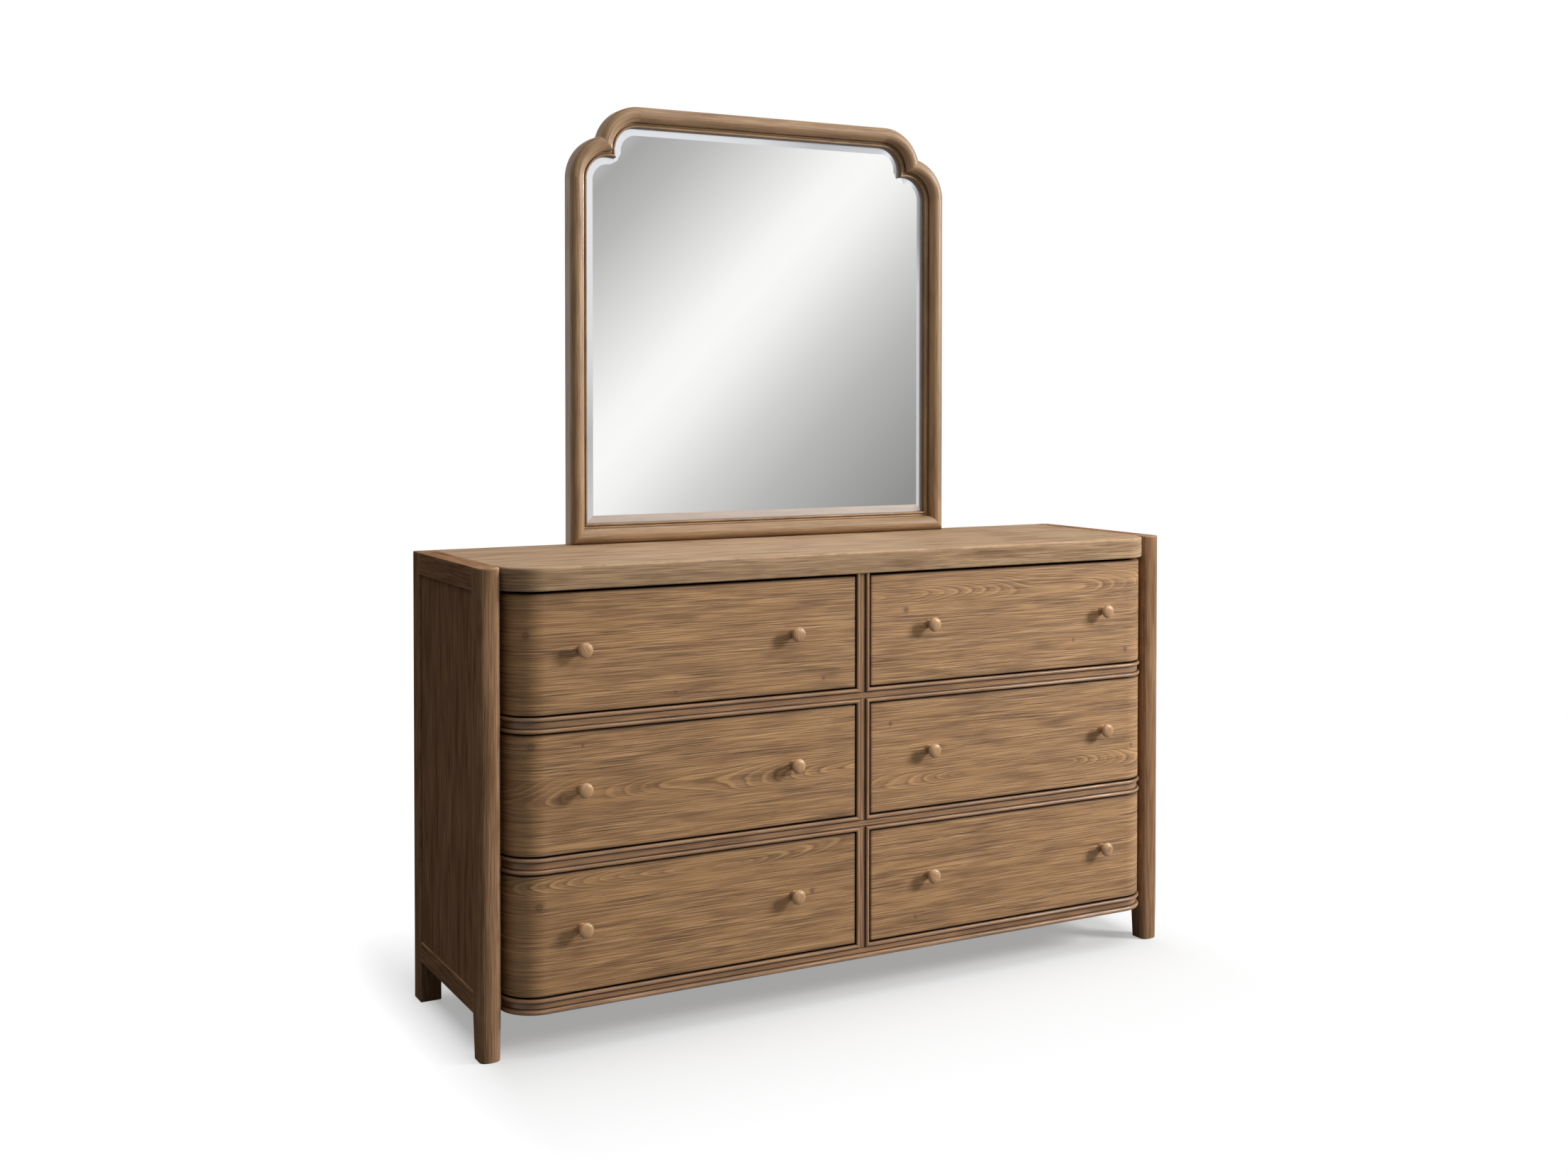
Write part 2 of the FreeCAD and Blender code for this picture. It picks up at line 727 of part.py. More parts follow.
front_inner = half_stile + drawer_gap
front_outer = corner_centre + corner_radius
inner_radius = corner_radius - front_thickness
side_height = drawer_height - box_drop
bottom_low = bottom_rise
bottom_high = bottom_rise + bottom_thickness


def round_corners(radius):
    """Corners of a turned round, as short flats."""
    turns = [math.tau * i / knob_flats.value for i in range(int(knob_flats.value))]
    return [(radius * math.cos(turn), radius * math.sin(turn)) for turn in turns]


def knob(name, middle, height):
    """A turned mushroom knob: a small foot, a straight neck and a head eased to a dome."""
    piece = new_body(name)
    head = knob_head / 2
    for part, radius, low, high in (
        ("Foot", knob_foot / 2, 0, 0.08),
        ("Neck", knob_neck / 2, 0, 0.7),
        ("Head", head, 0.58, 1),
    ):
        plane = -ahead(front_face + knob_reach * low)
        ring = new_sketch(piece, f"{part}Round", "XZ_Plane", (middle, height, plane))
        pad(piece, draw(ring, round_corners(radius)), knob_reach * (high - low), part)

    def on_head_rim(edge):
        box = edge.BoundBox
        away = Vector(box.Center.x - middle.value, 0, box.Center.z - height.value).Length
        return box.YLength < 0.01 and away > head.value * 0.9

    ease_edges(piece, knob_ease, on_head_rim)
    return piece


def drawer(row):
    """The left-hand drawer of a row, counted from the top, and its twin on the right."""
    level = base_clearance + (3 - row) * row_pitch + rail_height + drawer_gap
    stem = f"drawer_{row}"

    # Front: a thick board whose outer end curves back round the corner of the case.
    front = new_body(f"{stem}_front_left")
    bind(front, "Placement.Base.z", level)
    outer_x, outer_y = corner_middle(corner_radius)
    inner_x, inner_y = corner_middle(inner_radius)
    front_plan = draw(new_sketch(front, "Plan", "XY_Plane"), [
        (-front_inner, ahead(front_face)),
        (-corner_centre, ahead(front_face), (outer_x, outer_y, corner_radius)),
        (-front_outer, ahead(corner_depth)),
        (-front_outer + front_thickness, ahead(corner_depth), (inner_x, inner_y, inner_radius)),
        (-corner_centre, ahead(front_face - front_thickness)),
        (-front_inner, ahead(front_face - front_thickness)),
    ])
    pad(front, front_plan, drawer_height, "Board")
    both_sides(f"{stem}_front", front)

    # Sides: two boards grooved for the bottom; the outer one is shorter than the inner one.
    sides = []
    for name, outside, inward, front_end in (
        ("outer", -box_outer, 1, corner_depth),
        ("inner", -box_inner, -1, front_face - front_thickness),
    ):
        side = new_body(f"{stem}_side_{name}")
        bind(side, "Placement.Base.z", level)
        inside = outside + side_thickness * inward
        seat = inside - bottom_groove * inward
        section = draw(new_sketch(side, "Section", "XZ_Plane", (0, 0, -ahead(box_rear))), [
            (outside, nothing),
            (inside, nothing),
            (inside, bottom_low),
            (seat, bottom_low),
            (seat, bottom_high),
            (inside, bottom_high),
            (inside, side_height),
            (outside, side_height),
        ])
        pad(side, section, front_end - box_rear, "Board")
        sides.append(side)
    both_sides(f"{stem}_sides", group(f"{stem}_sides_left", sides))

    # Back: between the sides, standing on the bottom.
    outer_inside = -box_outer + side_thickness
    inner_inside = -box_inner - side_thickness
    both_sides(f"{stem}_back", board(
        f"{stem}_back_left",
        (outer_inside, inner_inside),
        (ahead(box_rear + back_board), ahead(box_rear)),
        (level + bottom_high, level + side_height),
    ))

    # Bottom: a thin panel in the side grooves, cut round inside the curved front.
    bottom = new_body(f"{stem}_bottom_left")
    bind(bottom, "Placement.Base.z", level)
    inner_front = front_face - front_thickness
    bottom_plan = draw(new_sketch(bottom, "Plan", "XY_Plane", (0, 0, bottom_low)), [
        (outer_inside - bottom_groove, ahead(box_rear)),
        (inner_inside + bottom_groove, ahead(box_rear)),
        (inner_inside + bottom_groove, ahead(inner_front)),
        (-corner_centre, ahead(inner_front), (inner_x, inner_y, inner_radius)),
        (-front_outer + front_thickness, ahead(corner_depth)),
        (outer_inside - bottom_groove, ahead(corner_depth)),
    ])
    pad(bottom, bottom_plan, bottom_thickness, "Panel")
    both_sides(f"{stem}_bottom", bottom)

    # Knobs: two to each drawer.
    knobs = [
        knob(f"{stem}_knob_near", -knob_near, level + knob_rise),
        knob(f"{stem}_knob_far", -knob_far, level + knob_rise),
    ]
    both_sides(f"{stem}_knobs", group(f"{stem}_knobs_left", knobs))


for row in (1, 2, 3):
    drawer(row)

# ---------------------------------------------------------------- mirror


def member_section():
    """Corners of the mirror moulding as (inward from the outer side, ahead of the back)."""
    torus_width = torus_radius * 2
    lip_start = torus_width + fillet_width
    lip_width = lip_radius * 2
    return [
        (nothing, nothing),
        *half_round(nothing, torus_width, member_side, torus_flats),
        (torus_width, torus_foot),
        (lip_start, fillet_low),
        *half_round(lip_start, lip_width, lip_seat, bead_flats),
        (member_width, rabbet_depth),
        (member_width - rabbet_width, rabbet_depth),
        (member_width - rabbet_width, nothing),
    ]


low_centre_x = mirror_half - shoulder_radius
low_centre_z = mirror_top - shoulder_radius - shoulder_step
high_centre_x = low_centre_x - shoulder_step
high_centre_z = low_centre_z + shoulder_step

# Stiles: straight lengths from the mitred lower corners up to the shoulders.
mirror_stile = new_body("mirror_stile_left")
stile_section = draw(
    new_sketch(mirror_stile, "Section", "XY_Plane", (0, 0, case_height)),
    placed(member_section(), lambda inward, out: (-mirror_half + inward, ahead(out))),
)
pad(mirror_stile, stile_section, low_centre_z - case_height, "Length")
mitre = draw(new_sketch(mirror_stile, "Mitre", "XZ_Plane", (0, 0, -ahead(-1))), [
    (-mirror_half, case_height),
    (-mirror_half + member_width + 1, case_height + member_width + 1),
    (-mirror_half + member_width + 1, case_height),
])
pocket(mirror_stile, mitre, member_side + torus_radius + 2, "MitreCut", reverse=True)
both_sides("mirror_stile", mirror_stile)

# Bottom rail: stands on the top board, mitred to the stiles at both ends.
low_member = new_body("mirror_bottom_rail")
low_section = draw(
    new_sketch(low_member, "Section", "YZ_Plane", (0, 0, -mirror_half)),
    placed(member_section(), lambda inward, out: (ahead(out), case_height + inward)),
)
pad(low_member, low_section, mirror_width, "Length")
for side in (-1, 1):
    mitre = draw(new_sketch(low_member, f"Mitre{side + 1}", "XZ_Plane", (0, 0, -ahead(-1))), [
        (mirror_half * side, case_height),
        (mirror_half * side, case_height + member_width + 1),
        ((mirror_half - member_width - 1) * side, case_height + member_width + 1),
    ])
    depth = member_side + torus_radius + 2
    pocket(low_member, mitre, depth, f"MitreCut{side + 1}", reverse=True)
nodes.append(low_member)

# Top rail: the straight length between the two shoulders.
high_member = new_body("mirror_top_rail")
high_section = draw(
    new_sketch(high_member, "Section", "YZ_Plane", (0, 0, -high_centre_x)),
    placed(member_section(), lambda inward, out: (ahead(out), mirror_top - inward)),
)
pad(high_member, high_section, 2 * high_centre_x, "Length")
nodes.append(high_member)


def shoulder_arc(name, centre_x, centre_z, turn, start_turn, keep_low):
    """One moulded arc of a shoulder, cut off on the 45 degree mitre where the arcs meet."""
    piece = new_body(name)
    section = new_sketch(piece, "Section", "XY_Plane", (-centre_x, 0, centre_z))
    draw(section, placed(member_section(), lambda inward, out: (-shoulder_radius + inward, ahead(out))))
    section.AttachmentOffset = Placement(
        section.AttachmentOffset.Base, Rotation(Vector(0, 1, 0), start_turn)
    )
    for axis, size in zip("xyz", (-centre_x, 0, centre_z)):
        bind(section, f"AttachmentOffset.Base.{axis}", size)
    arc = piece.newObject("PartDesign::Revolution", f"{name}_Arc")
    arc.Profile = section
    arc.ReferenceAxis = (section, ["V_Axis"])
    arc.Angle = turn
    piece.Tip = arc
    middle_x = -(low_centre_x + high_centre_x) / 2
    middle_z = (low_centre_z + high_centre_z) / 2
    far = shoulder_radius * 2
    corner = (middle_x + far, middle_z + far) if keep_low else (middle_x - far, middle_z - far)
    cut = draw(new_sketch(piece, "Mitre", "XZ_Plane", (0, 0, -ahead(-1))), [
        (middle_x - far, middle_z + far),
        (middle_x + far, middle_z - far),
        corner,
    ])
    pocket(piece, cut, member_side + torus_radius + 2, "MitreCut", reverse=True)
    return piece


# Shoulders: two moulded arcs that meet in a sharp notch, shaped from one block of wood.
shoulder = joined("shoulder_left", [
    shoulder_arc("shoulder_low", low_centre_x, low_centre_z, 112, 0, True),
    shoulder_arc("shoulder_high", high_centre_x, high_centre_z, 112, -22, False),
])
nodes.append(group("mirror_shoulders", [shoulder, mirrored("shoulder_right", shoulder)]))


def notch_rise(radius):
    """How far the arcs of one shoulder meet beyond the midpoint of their centres, each way."""
    return (radius * radius / 2 - shoulder_step * shoulder_step / 4).root()


def glass_outline(inset):
    """Outline of a sheet: straight sides and stepped shoulders, all inset by one distance."""
    radius = shoulder_radius - inset
    half = mirror_half - inset
    low = case_height + inset
    notch_x = (low_centre_x + high_centre_x) / 2 + notch_rise(radius)
    notch_z = (low_centre_z + high_centre_z) / 2 + notch_rise(radius)
    slope = math.sqrt(0.75)
    low_way = (low_centre_x + radius * slope, low_centre_z + radius / 2, radius)
    high_way = (high_centre_x + radius / 2, high_centre_z + radius * slope, radius)
    return [
        (-half, low),
        (half, low),
        (half, low_centre_z, low_way),
        (notch_x, notch_z, high_way),
        (high_centre_x, high_centre_z + radius),
        (-high_centre_x, high_centre_z + radius, (-high_way[0], high_way[1], radius)),
        (-notch_x, notch_z, (-low_way[0], low_way[1], radius)),
        (-half, low_centre_z),
    ]


# Glass: a flat sheet with a wide bevel ground all round its face. It rests on the tips of
# the notches in the rabbet, and the bevel's inner line runs round them in a smooth curve.
glass = new_body("mirror_glass")
sheet_inset = member_width - rabbet_width + glass_play
arc_radius = shoulder_radius - sheet_inset
lip_arc_radius = shoulder_radius - member_width
lap = (notch_rise(arc_radius) - notch_rise(lip_arc_radius)) * Size(2).root()
glass_front = rabbet_depth + bevel_drop * (bevel_width - lap) / bevel_width
glass_back = glass_front - glass_thickness
bevel_foot = glass_front - bevel_drop
sheet_outline = new_sketch(glass, "Outline", "XZ_Plane", (0, 0, -ahead(glass_back)))
draw(sheet_outline, glass_outline(sheet_inset))
pad(glass, sheet_outline, glass_thickness, "Sheet")


def ground_section(edge, inward):
    """Glass taken off by the bevel, as (across, ahead) from an edge in one direction."""
    return [
        (edge + bevel_width * inward, glass_front),
        (edge, bevel_foot),
        (edge - inward, bevel_foot),
        (edge - inward, glass_front + 1),
        (edge + bevel_width * inward, glass_front + 1),
    ]


glass_low = case_height + sheet_inset
glass_high = mirror_top - sheet_inset
glass_half = mirror_half - sheet_inset
for name, edge, inward, half in (
    ("Foot", glass_low, 1, glass_half),
    ("Head", glass_high, -1, high_centre_x),
):
    ramp = new_sketch(glass, name, "YZ_Plane", (0, 0, -half))
    draw(ramp, placed(ground_section(edge, inward), lambda across, out: (ahead(out), across)))
    pocket(glass, ramp, half * 2, f"{name}Bevel", reverse=True)
for name, edge, inward in (("Left", -glass_half, 1), ("Right", glass_half, -1)):
    ramp = new_sketch(glass, name, "XY_Plane", (0, 0, glass_low))
    draw(ramp, placed(ground_section(edge, inward), lambda across, out: (across, ahead(out))))
    pocket(glass, ramp, low_centre_z - glass_low, f"{name}Bevel", reverse=True)


def ground_round(name, centre_x, centre_z, section, start, turn):
    """Bevel ground round a centre, from a start angle above the left-hand direction."""
    ramp = new_sketch(glass, name, "XY_Plane", (centre_x, 0, centre_z))
    draw(ramp, placed(section, lambda across, out: (-across, ahead(out))))
    ramp.AttachmentOffset = Placement(
        ramp.AttachmentOffset.Base, Rotation(Vector(0, 1, 0), start)
    )
    for axis, size in zip("xz", (centre_x, centre_z)):
        bind(ramp, f"AttachmentOffset.Base.{axis}", size)
    doc.recompute()
    before = glass.Shape.Volume
    groove = glass.newObject("PartDesign::Groove", f"mirror_glass_{name}Bevel")
    groove.Profile = ramp
    groove.ReferenceAxis = (ramp, ["V_Axis"])
    groove.Angle = turn
    glass.Tip = groove
    doc.recompute()
    if glass.Shape.Volume > before - 1:
        raise ValueError(f"{name} bevel cuts nothing")


# Each shoulder has two rings about the centres of its arcs and a cone about its notch.
notch_up = notch_rise(arc_radius) + shoulder_step / 2
notch_along = notch_rise(arc_radius) - shoulder_step / 2
notch_turn = math.degrees(math.atan2(notch_up.value, notch_along.value))
ring = ground_section(arc_radius, -1)
cone = [
    (nothing, bevel_foot),
    (bevel_width, glass_front),
    (bevel_width, glass_front + 1),
    (nothing, glass_front + 1),
]
turns = (("Left", -1, 0, 90 - notch_turn), ("Right", 1, 180 - notch_turn, 90))
for side, sign, low_start, high_start in turns:
    low_x, high_x = low_centre_x * sign, high_centre_x * sign
    notch_x = (low_centre_x + notch_along) * sign
    ground_round(f"{side}Low", low_x, low_centre_z, ring, low_start, notch_turn)
    ground_round(f"{side}High", high_x, high_centre_z, ring, high_start, notch_turn)
    ground_round(f"{side}Notch", notch_x, low_centre_z + notch_up, cone, 0, 360)
nodes.append(glass)

# Backing: a thin board behind the glass.
backing = new_body("mirror_backing")
backing_back = Size(2)
backing_outline = new_sketch(backing, "Outline", "XZ_Plane", (0, 0, -ahead(backing_back)))
draw(backing_outline, glass_outline(sheet_inset))
pad(backing, backing_outline, glass_back - backing_back, "Board")
nodes.append(backing)

# Supports: two battens screwed to the back of the case and to the mirror frame.
both_sides("mirror_support", board(
    "mirror_support_left",
    (-support_spread - support_width / 2, -support_spread + support_width / 2),
    (ahead(0), ahead(-support_thickness)),
    (support_low, mirror_top - member_width / 4),
))


def screw(name, height, length):
    """A wood screw driven forwards through a support: a flat head on a plain shank."""
    parts = []
    start = -support_thickness
    for part, diameter, reach in (("head", screw_head, screw_head / 4), ("shank", screw_shank, length)):
        prism = doc.addObject("Part::Prism", f"{name}_{part}")
        prism.Polygon = 12
        bind(prism, "Circumradius", diameter / 2)
        bind(prism, "Height", reach)
        prism.Placement = Placement(Vector(0, 0, 0), Rotation(Vector(1, 0, 0), 90))
        bind(prism, "Placement.Base.x", -support_spread)
        bind(prism, "Placement.Base.y", ahead(start))
        bind(prism, "Placement.Base.z", height)
        parts.append(prism)
    return joined(name, parts)


# Each support has two screws into the case and two into the mirror frame.
screws = []
for name, height, length in (
    ("screw_rail", top_underside - back_rail_height / 2, screw_length),
    ("screw_top", case_height - top_thickness / 2, screw_length),
    ("screw_sill", case_height + torus_radius, screw_length * 0.75),
    ("screw_head", mirror_top - member_width * 0.6, screw_length * 0.75),
):
    piece = screw(name, height, length)
    screws.extend([piece, mirrored(f"{name}_right", piece)])
nodes.append(group("mirror_screws", screws))

# ---------------------------------------------------------------- check and export

doc.recompute()
for thing in doc.Objects:
    if "Invalid" in thing.State or "Error" in thing.State:
        raise ValueError(f"{thing.Label} is not right: {thing.State}")
os.makedirs("parts", exist_ok=True)
for node in nodes:
    shape = node.Shape
    if shape.isNull() or not shape.isValid():
        raise ValueError(f"{node.Label} has no valid shape")
    shape.exportStep(f"parts/{node.Label}.step")
print(len(nodes), "nodes,", round(case_height.value, 1), "mm case,", round(mirror_top.value, 1), "mm tall")
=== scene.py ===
import math

import bmesh
import bpy
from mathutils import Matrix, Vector


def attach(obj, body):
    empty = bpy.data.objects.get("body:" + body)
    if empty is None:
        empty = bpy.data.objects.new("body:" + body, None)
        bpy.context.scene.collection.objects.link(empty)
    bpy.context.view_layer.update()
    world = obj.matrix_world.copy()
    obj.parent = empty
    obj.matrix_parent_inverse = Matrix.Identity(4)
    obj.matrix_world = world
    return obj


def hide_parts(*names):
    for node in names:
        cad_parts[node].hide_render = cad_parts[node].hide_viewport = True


# A wide low dresser of brushed and stained pine, with a bevelled mirror in a moulded frame.
# Metres; X to the right, the drawers open towards -Y, Z up, the floor at Z = 0.

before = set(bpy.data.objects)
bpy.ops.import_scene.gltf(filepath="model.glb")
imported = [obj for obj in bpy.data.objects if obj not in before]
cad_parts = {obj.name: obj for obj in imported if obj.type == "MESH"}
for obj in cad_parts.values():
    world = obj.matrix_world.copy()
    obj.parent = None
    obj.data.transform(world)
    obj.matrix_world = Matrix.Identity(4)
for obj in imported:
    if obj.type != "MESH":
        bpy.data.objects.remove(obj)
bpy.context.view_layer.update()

# ---------------------------------------------------------------- front legs
# Two solid pine posts in the front corners, planed with a domed front and drawn in at the
# foot. The side rails are tenoned into them, and the stain is wiped thin on their corners.


class Value:
    """A socket of a finish. Arithmetic on it adds Math nodes, and node() adds any other."""

    def __init__(self, tree, socket=None):
        self.tree = tree
        self.socket = socket

    def node(self, kind, settings=(), sockets=(), output=0):
        """Adds a node: its settings first, then the values or links of its sockets."""
        made = self.tree.nodes.new(kind)
        for name, setting in dict(settings).items():
            if name == "stops":
                while len(made.color_ramp.elements) < len(setting):
                    made.color_ramp.elements.new(1)
                for element, (position, shade) in zip(made.color_ramp.elements, setting):
                    element.position = position
                    element.color = (shade, shade, shade, 1)
            else:
                setattr(made, name, setting)
        for name, value in dict(sockets).items():
            if isinstance(value, Value):
                self.tree.links.new(value.socket, made.inputs[name])
            else:
                made.inputs[name].default_value = value
        return Value(self.tree, made.outputs[output] if made.outputs else None)

    def part(self, output):
        """Another output of the node this value comes from."""
        return Value(self.tree, self.socket.node.outputs[output])

    def axes(self):
        """The three parts of a vector."""
        split = self.node("ShaderNodeSeparateXYZ", (), {0: self})
        return [split.part(axis) for axis in "XYZ"]

    def maths(self, operation, *terms):
        return self.node("ShaderNodeMath", {"operation": operation}, enumerate(terms))

    def shaped(self, *stops):
        """The value run through a curve of (position, height) stops."""
        return self.node("ShaderNodeValToRGB", {"stops": stops}, {"Fac": self})

    def __add__(self, other):
        return self.maths("ADD", self, other)

    def __sub__(self, other):
        return self.maths("SUBTRACT", self, other)

    def __rsub__(self, other):
        return self.maths("SUBTRACT", other, self)

    def __mul__(self, other):
        return self.maths("MULTIPLY", self, other)

    def __truediv__(self, other):
        return self.maths("DIVIDE", self, other)

    def __pow__(self, other):
        return self.maths("POWER", self, other)

    __radd__ = __add__
    __rmul__ = __mul__


def srgb(red, green, blue):
    """A colour from its usual 0 to 255 numbers."""
    parts = [part / 255 for part in (red, green, blue)]
    linear = [p / 12.92 if p <= 0.04045 else ((p + 0.055) / 1.055) ** 2.4 for p in parts]
    return (*linear, 1)


def new_finish(name):
    material = bpy.data.materials.new(name)
    material.use_nodes = True
    material.node_tree.nodes.clear()
    return material, Value(material.node_tree)


def over(below, above, share):
    """One colour laid over another where share is 1."""
    return below.node("ShaderNodeMix", {"data_type": "RGBA"}, {0: share, 6: below, 7: above}, 2)


def pine(
    name, pale, deep, brushing=1.0, figure=1.0, gloss=0.35, dull=0.50,
    run=None, knots=(), nearest=0.0, lean=0.0,
):
    """Stained pine: growth rings about the heart of its log, brushed fibres, wear, and painted shade and
    highlights.

    The wood lies in its log as the piece's "grain" attribute says: along, across and out.
    A piece without one is sawn from the log by the object's axes, in the order of run. The
    saw came nearest to the heart at one place along the log and leans away on both sides.
    """
    material, wood = new_finish(name)
    if run:
        parts = dict(zip("xyz", wood.node("ShaderNodeTexCoord", output="Object").axes()))
        place = wood.node("ShaderNodeCombineXYZ", (), enumerate(parts[axis] for axis in run))
    else:
        place = wood.node("ShaderNodeAttribute", {"attribute_name": "grain"}, output="Vector")
    along, across, out = place.axes()

    def streaks(length, width, detail=2.0, course=place):
        """Noise drawn out along the grain to this length and width."""
        drawn = wood.node(
            "ShaderNodeVectorMath", {"operation": "DIVIDE"}, {0: course, 1: (length, width, width)}
        )
        sockets = {"Vector": drawn, "Scale": 1.0, "Detail": detail, "Roughness": 0.55}
        return wood.node("ShaderNodeTexNoise", (), sockets)

    # the fibres flow round each knot, which is a darker round of end grain
    knot_mark = 0.0
    for knot_along, knot_across, radius in knots:
        aside, above = along - knot_along, across - knot_across
        near = (aside * aside * 0.4 + above * above) ** 0.5 / radius
        across = across - above * near.shaped((0, 0.9), (0.5, 0.35), (1, 0))
        gap = (aside * aside + above * above) ** 0.5 / (radius * 1.5)
        round_mark = gap.shaped((0, 0.9), (0.24, 0.75), (0.36, 1), (0.44, 0.35), (0.7, 0.15), (1, 0))
        knot_mark = round_mark + knot_mark

    # growth rings: arches where the saw ran near the heart, straight lines beside it
    ring_width = 0.0036
    wander = streaks(0.90, 0.12, 1.0) - 0.5
    ripple = streaks(0.20, 0.030, 1.5) - 0.5
    swell = streaks(0.40, 0.090, 1.0) - 0.5
    off_heart = across + wander * 0.050 + ripple * 0.0018
    depth = out + swell * 0.036 + ripple * 0.0040
    if lean:
        depth = depth + (along - nearest) * lean
    from_heart = (off_heart * off_heart + depth * depth) ** 0.5
    years = from_heart / ring_width
    ring = years.maths("FRACT", years)
    late = ring.shaped((0, 0), (0.50, 0), (0.68, 1), (0.84, 1), (0.90, 0), (1, 0))
    line = ring.shaped((0, 1), (0.06, 1), (0.20, 0), (0.90, 0), (0.96, 1), (1, 1))
    course = wood.node("ShaderNodeCombineXYZ", (), {0: along, 1: from_heart})
    broken = streaks(0.22, 0.0090, 2.0, course).shaped((0.36, 0.15), (0.62, 1))

    # fibres and open pores, thick in some bands and thin in others
    thick = streaks(0.50, 0.022, 2.0).shaped((0.35, 0.35), (0.65, 1))
    near_heart = off_heart.maths("ABSOLUTE", off_heart).shaped((0.010, 1), (0.050, 0))
    fibres = min(0.34, 0.12 + brushing)
    brushing = (1 - near_heart * 0.5 * figure) * brushing
    figure = (near_heart * 0.7 + 0.3) * figure
    fine = streaks(0.13, 0.0030, 1.0)
    furrow = fine.shaped((0.36, 1), (0.44, 0)) * thick
    ridge = fine.shaped((0.55, 0), (0.66, 1)) * thick
    fibre = streaks(0.09, 0.0030, 0.0).shaped((0.42, 0), (0.58, 1))
    pores = streaks(0.12, 0.0030, 1.0).shaped((0.61, 0), (0.66, 1)) * thick
    tone = streaks(0.30, 0.020, 1.5).shaped((0.30, 0), (0.70, 1))
    patch = streaks(0.15, 0.028, 2.5).shaped((0.48, 0), (0.66, 1))

    # below 0 the wear attribute is painted shade, dark in grooves, along gaps and on shaded flanks;
    # above 0 handling has rubbed the edges paler, and on bead tops and the mirror's fillet it is a painted
    # highlight
    wear = wood.node("ShaderNodeAttribute", {"attribute_name": "wear"}, output="Fac")
    rubbed_and_highlight = wear.maths("MAXIMUM", wear, 0.0) * streaks(0.03, 0.012).shaped((0.35, 0.25), (0.6, 1))
    painted_shade = wear.maths("MAXIMUM", wear * -1, 0.0)

    # each colour is laid over the ones before it
    colour = wood.node("ShaderNodeRGB")
    for laid, share in (
        (pale, 1.0),
        (deep, (1 - tone) * 0.40),
        (srgb(88, 58, 36), patch * 0.42),
        (srgb(92, 60, 34), fibre * fibres),
        (srgb(212, 168, 116), late * broken * 0.46 * figure),
        (srgb(84, 54, 30), line * broken * 0.44 * figure),
        (srgb(214, 172, 122), ridge * 0.56 * brushing),
        (srgb(66, 42, 24), furrow * 0.66 * brushing),
        (srgb(60, 38, 22), pores * 0.42 * brushing),
        (srgb(72, 50, 36), knot_mark * 0.72),
        # pale rubbing, with painted highlights on some tops, then the painted shade
        (srgb(204, 172, 134), rubbed_and_highlight * 0.55),
        (srgb(40, 27, 19), painted_shade * 0.88),
    ):
        colour = over(colour, laid, share)

    height = (ridge * 0.5 - furrow * 0.7 - pores) * brushing - fibre * 0.3 - line * broken * 0.4 * figure
    sockets = {"Height": height, "Distance": 0.0008, "Strength": 0.7}
    relief = wood.node("ShaderNodeBump", (), sockets)
    roughness = dull + pores * 0.14 + patch * 0.06 + painted_shade * 0.2
    sockets = {"Base Color": colour, "Roughness": roughness, "Normal": relief, "Specular IOR Level": gloss}
    shader = wood.node("ShaderNodeBsdfPrincipled", (), sockets)
    wood.node("ShaderNodeOutputMaterial", (), {"Surface": shader})
    return material


def new_piece():
    """An empty mesh whose points say where they lay in the log and how worn they are."""
    piece = bmesh.new()
    piece.verts.layers.float_vector.new("grain")
    piece.verts.layers.float.new("wear")
    return piece


def band(piece, first, second):
    """Joins two rings of points by a band of faces."""
    for i in range(len(first)):
        j = (i + 1) % len(first)
        piece.faces.new((first[i], first[j], second[j], second[i]))


def skin(piece, rings):
    """Joins rings of points into a closed skin, with a face over each end."""
    for first, second in zip(rings, rings[1:]):
        band(piece, first, second)
    piece.faces.new(rings[0][::-1])
    piece.faces.new(rings[-1])


def plank(piece, section, rows, bend, log):
    """Adds a length of wood: a section of (across, out, wear) carried along its grain.

    Each row is (along, inset, wear). bend gives the place of a point and how far along the
    grain it is, and log is where in the log the wood lay, counted from its heart. Wear is
    paler above 0, as rubbing and on some tops as a painted highlight, and below 0 it is
    painted shade, which stays whatever is beside it.
    """
    most_inset = 0.7
    grain = piece.verts.layers.float_vector["grain"]
    wear = piece.verts.layers.float["wear"]
    acrosses, outs, _ = zip(*section)
    middle_across = (min(acrosses) + max(acrosses)) / 2
    middle_out = (min(outs) + max(outs)) / 2
    half_across = max(acrosses) - middle_across
    half_out = max(outs) - middle_out
    rings = []
    for along, inset, row_wear in rows:
        keep_across = 1 - min(inset / half_across, most_inset)
        keep_out = 1 - min(inset / half_out, most_inset)
        ring = []
        for across, out, point_wear in section:
            at_across = middle_across + (across - middle_across) * keep_across
            at_out = middle_out + (out - middle_out) * keep_out
            place, length = bend(along, at_across, at_out)
            point = piece.verts.new(place)
            point[grain] = Vector((length, at_across, at_out)) + Vector(log)
            both = (point_wear, row_wear)
            point[wear] = min(both) if min(both) < 0 else max(both)
            ring.append(point)
        rings.append(ring)
    skin(piece, rings)


def settle(piece, name, finish, body, nodes):
    """Makes the object of a finished piece, which stands for its CAD nodes."""
    softest_edge = math.radians(34)
    bmesh.ops.recalc_face_normals(piece, faces=piece.faces)
    for edge in piece.edges:
        edge.smooth = edge.calc_face_angle(0) < softest_edge
    for face in piece.faces:
        face.smooth = True
    mesh = bpy.data.meshes.new(name)
    piece.to_mesh(mesh)
    piece.free()
    mesh.materials.append(finish)
    made = bpy.data.objects.new(name, mesh)
    bpy.context.scene.collection.objects.link(made)
    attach(made, body)
    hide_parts(*nodes)
    return made


def arc(across, out, radius, start, end, steps, wear=0.0):
    """Points of an arc on a section, between two angles in degrees."""
    points = []
    for i in range(steps + 1):
        angle = math.radians(start + (end - start) * i / steps)
        points.append((across + radius * math.cos(angle), out + radius * math.sin(angle), wear))
    return points


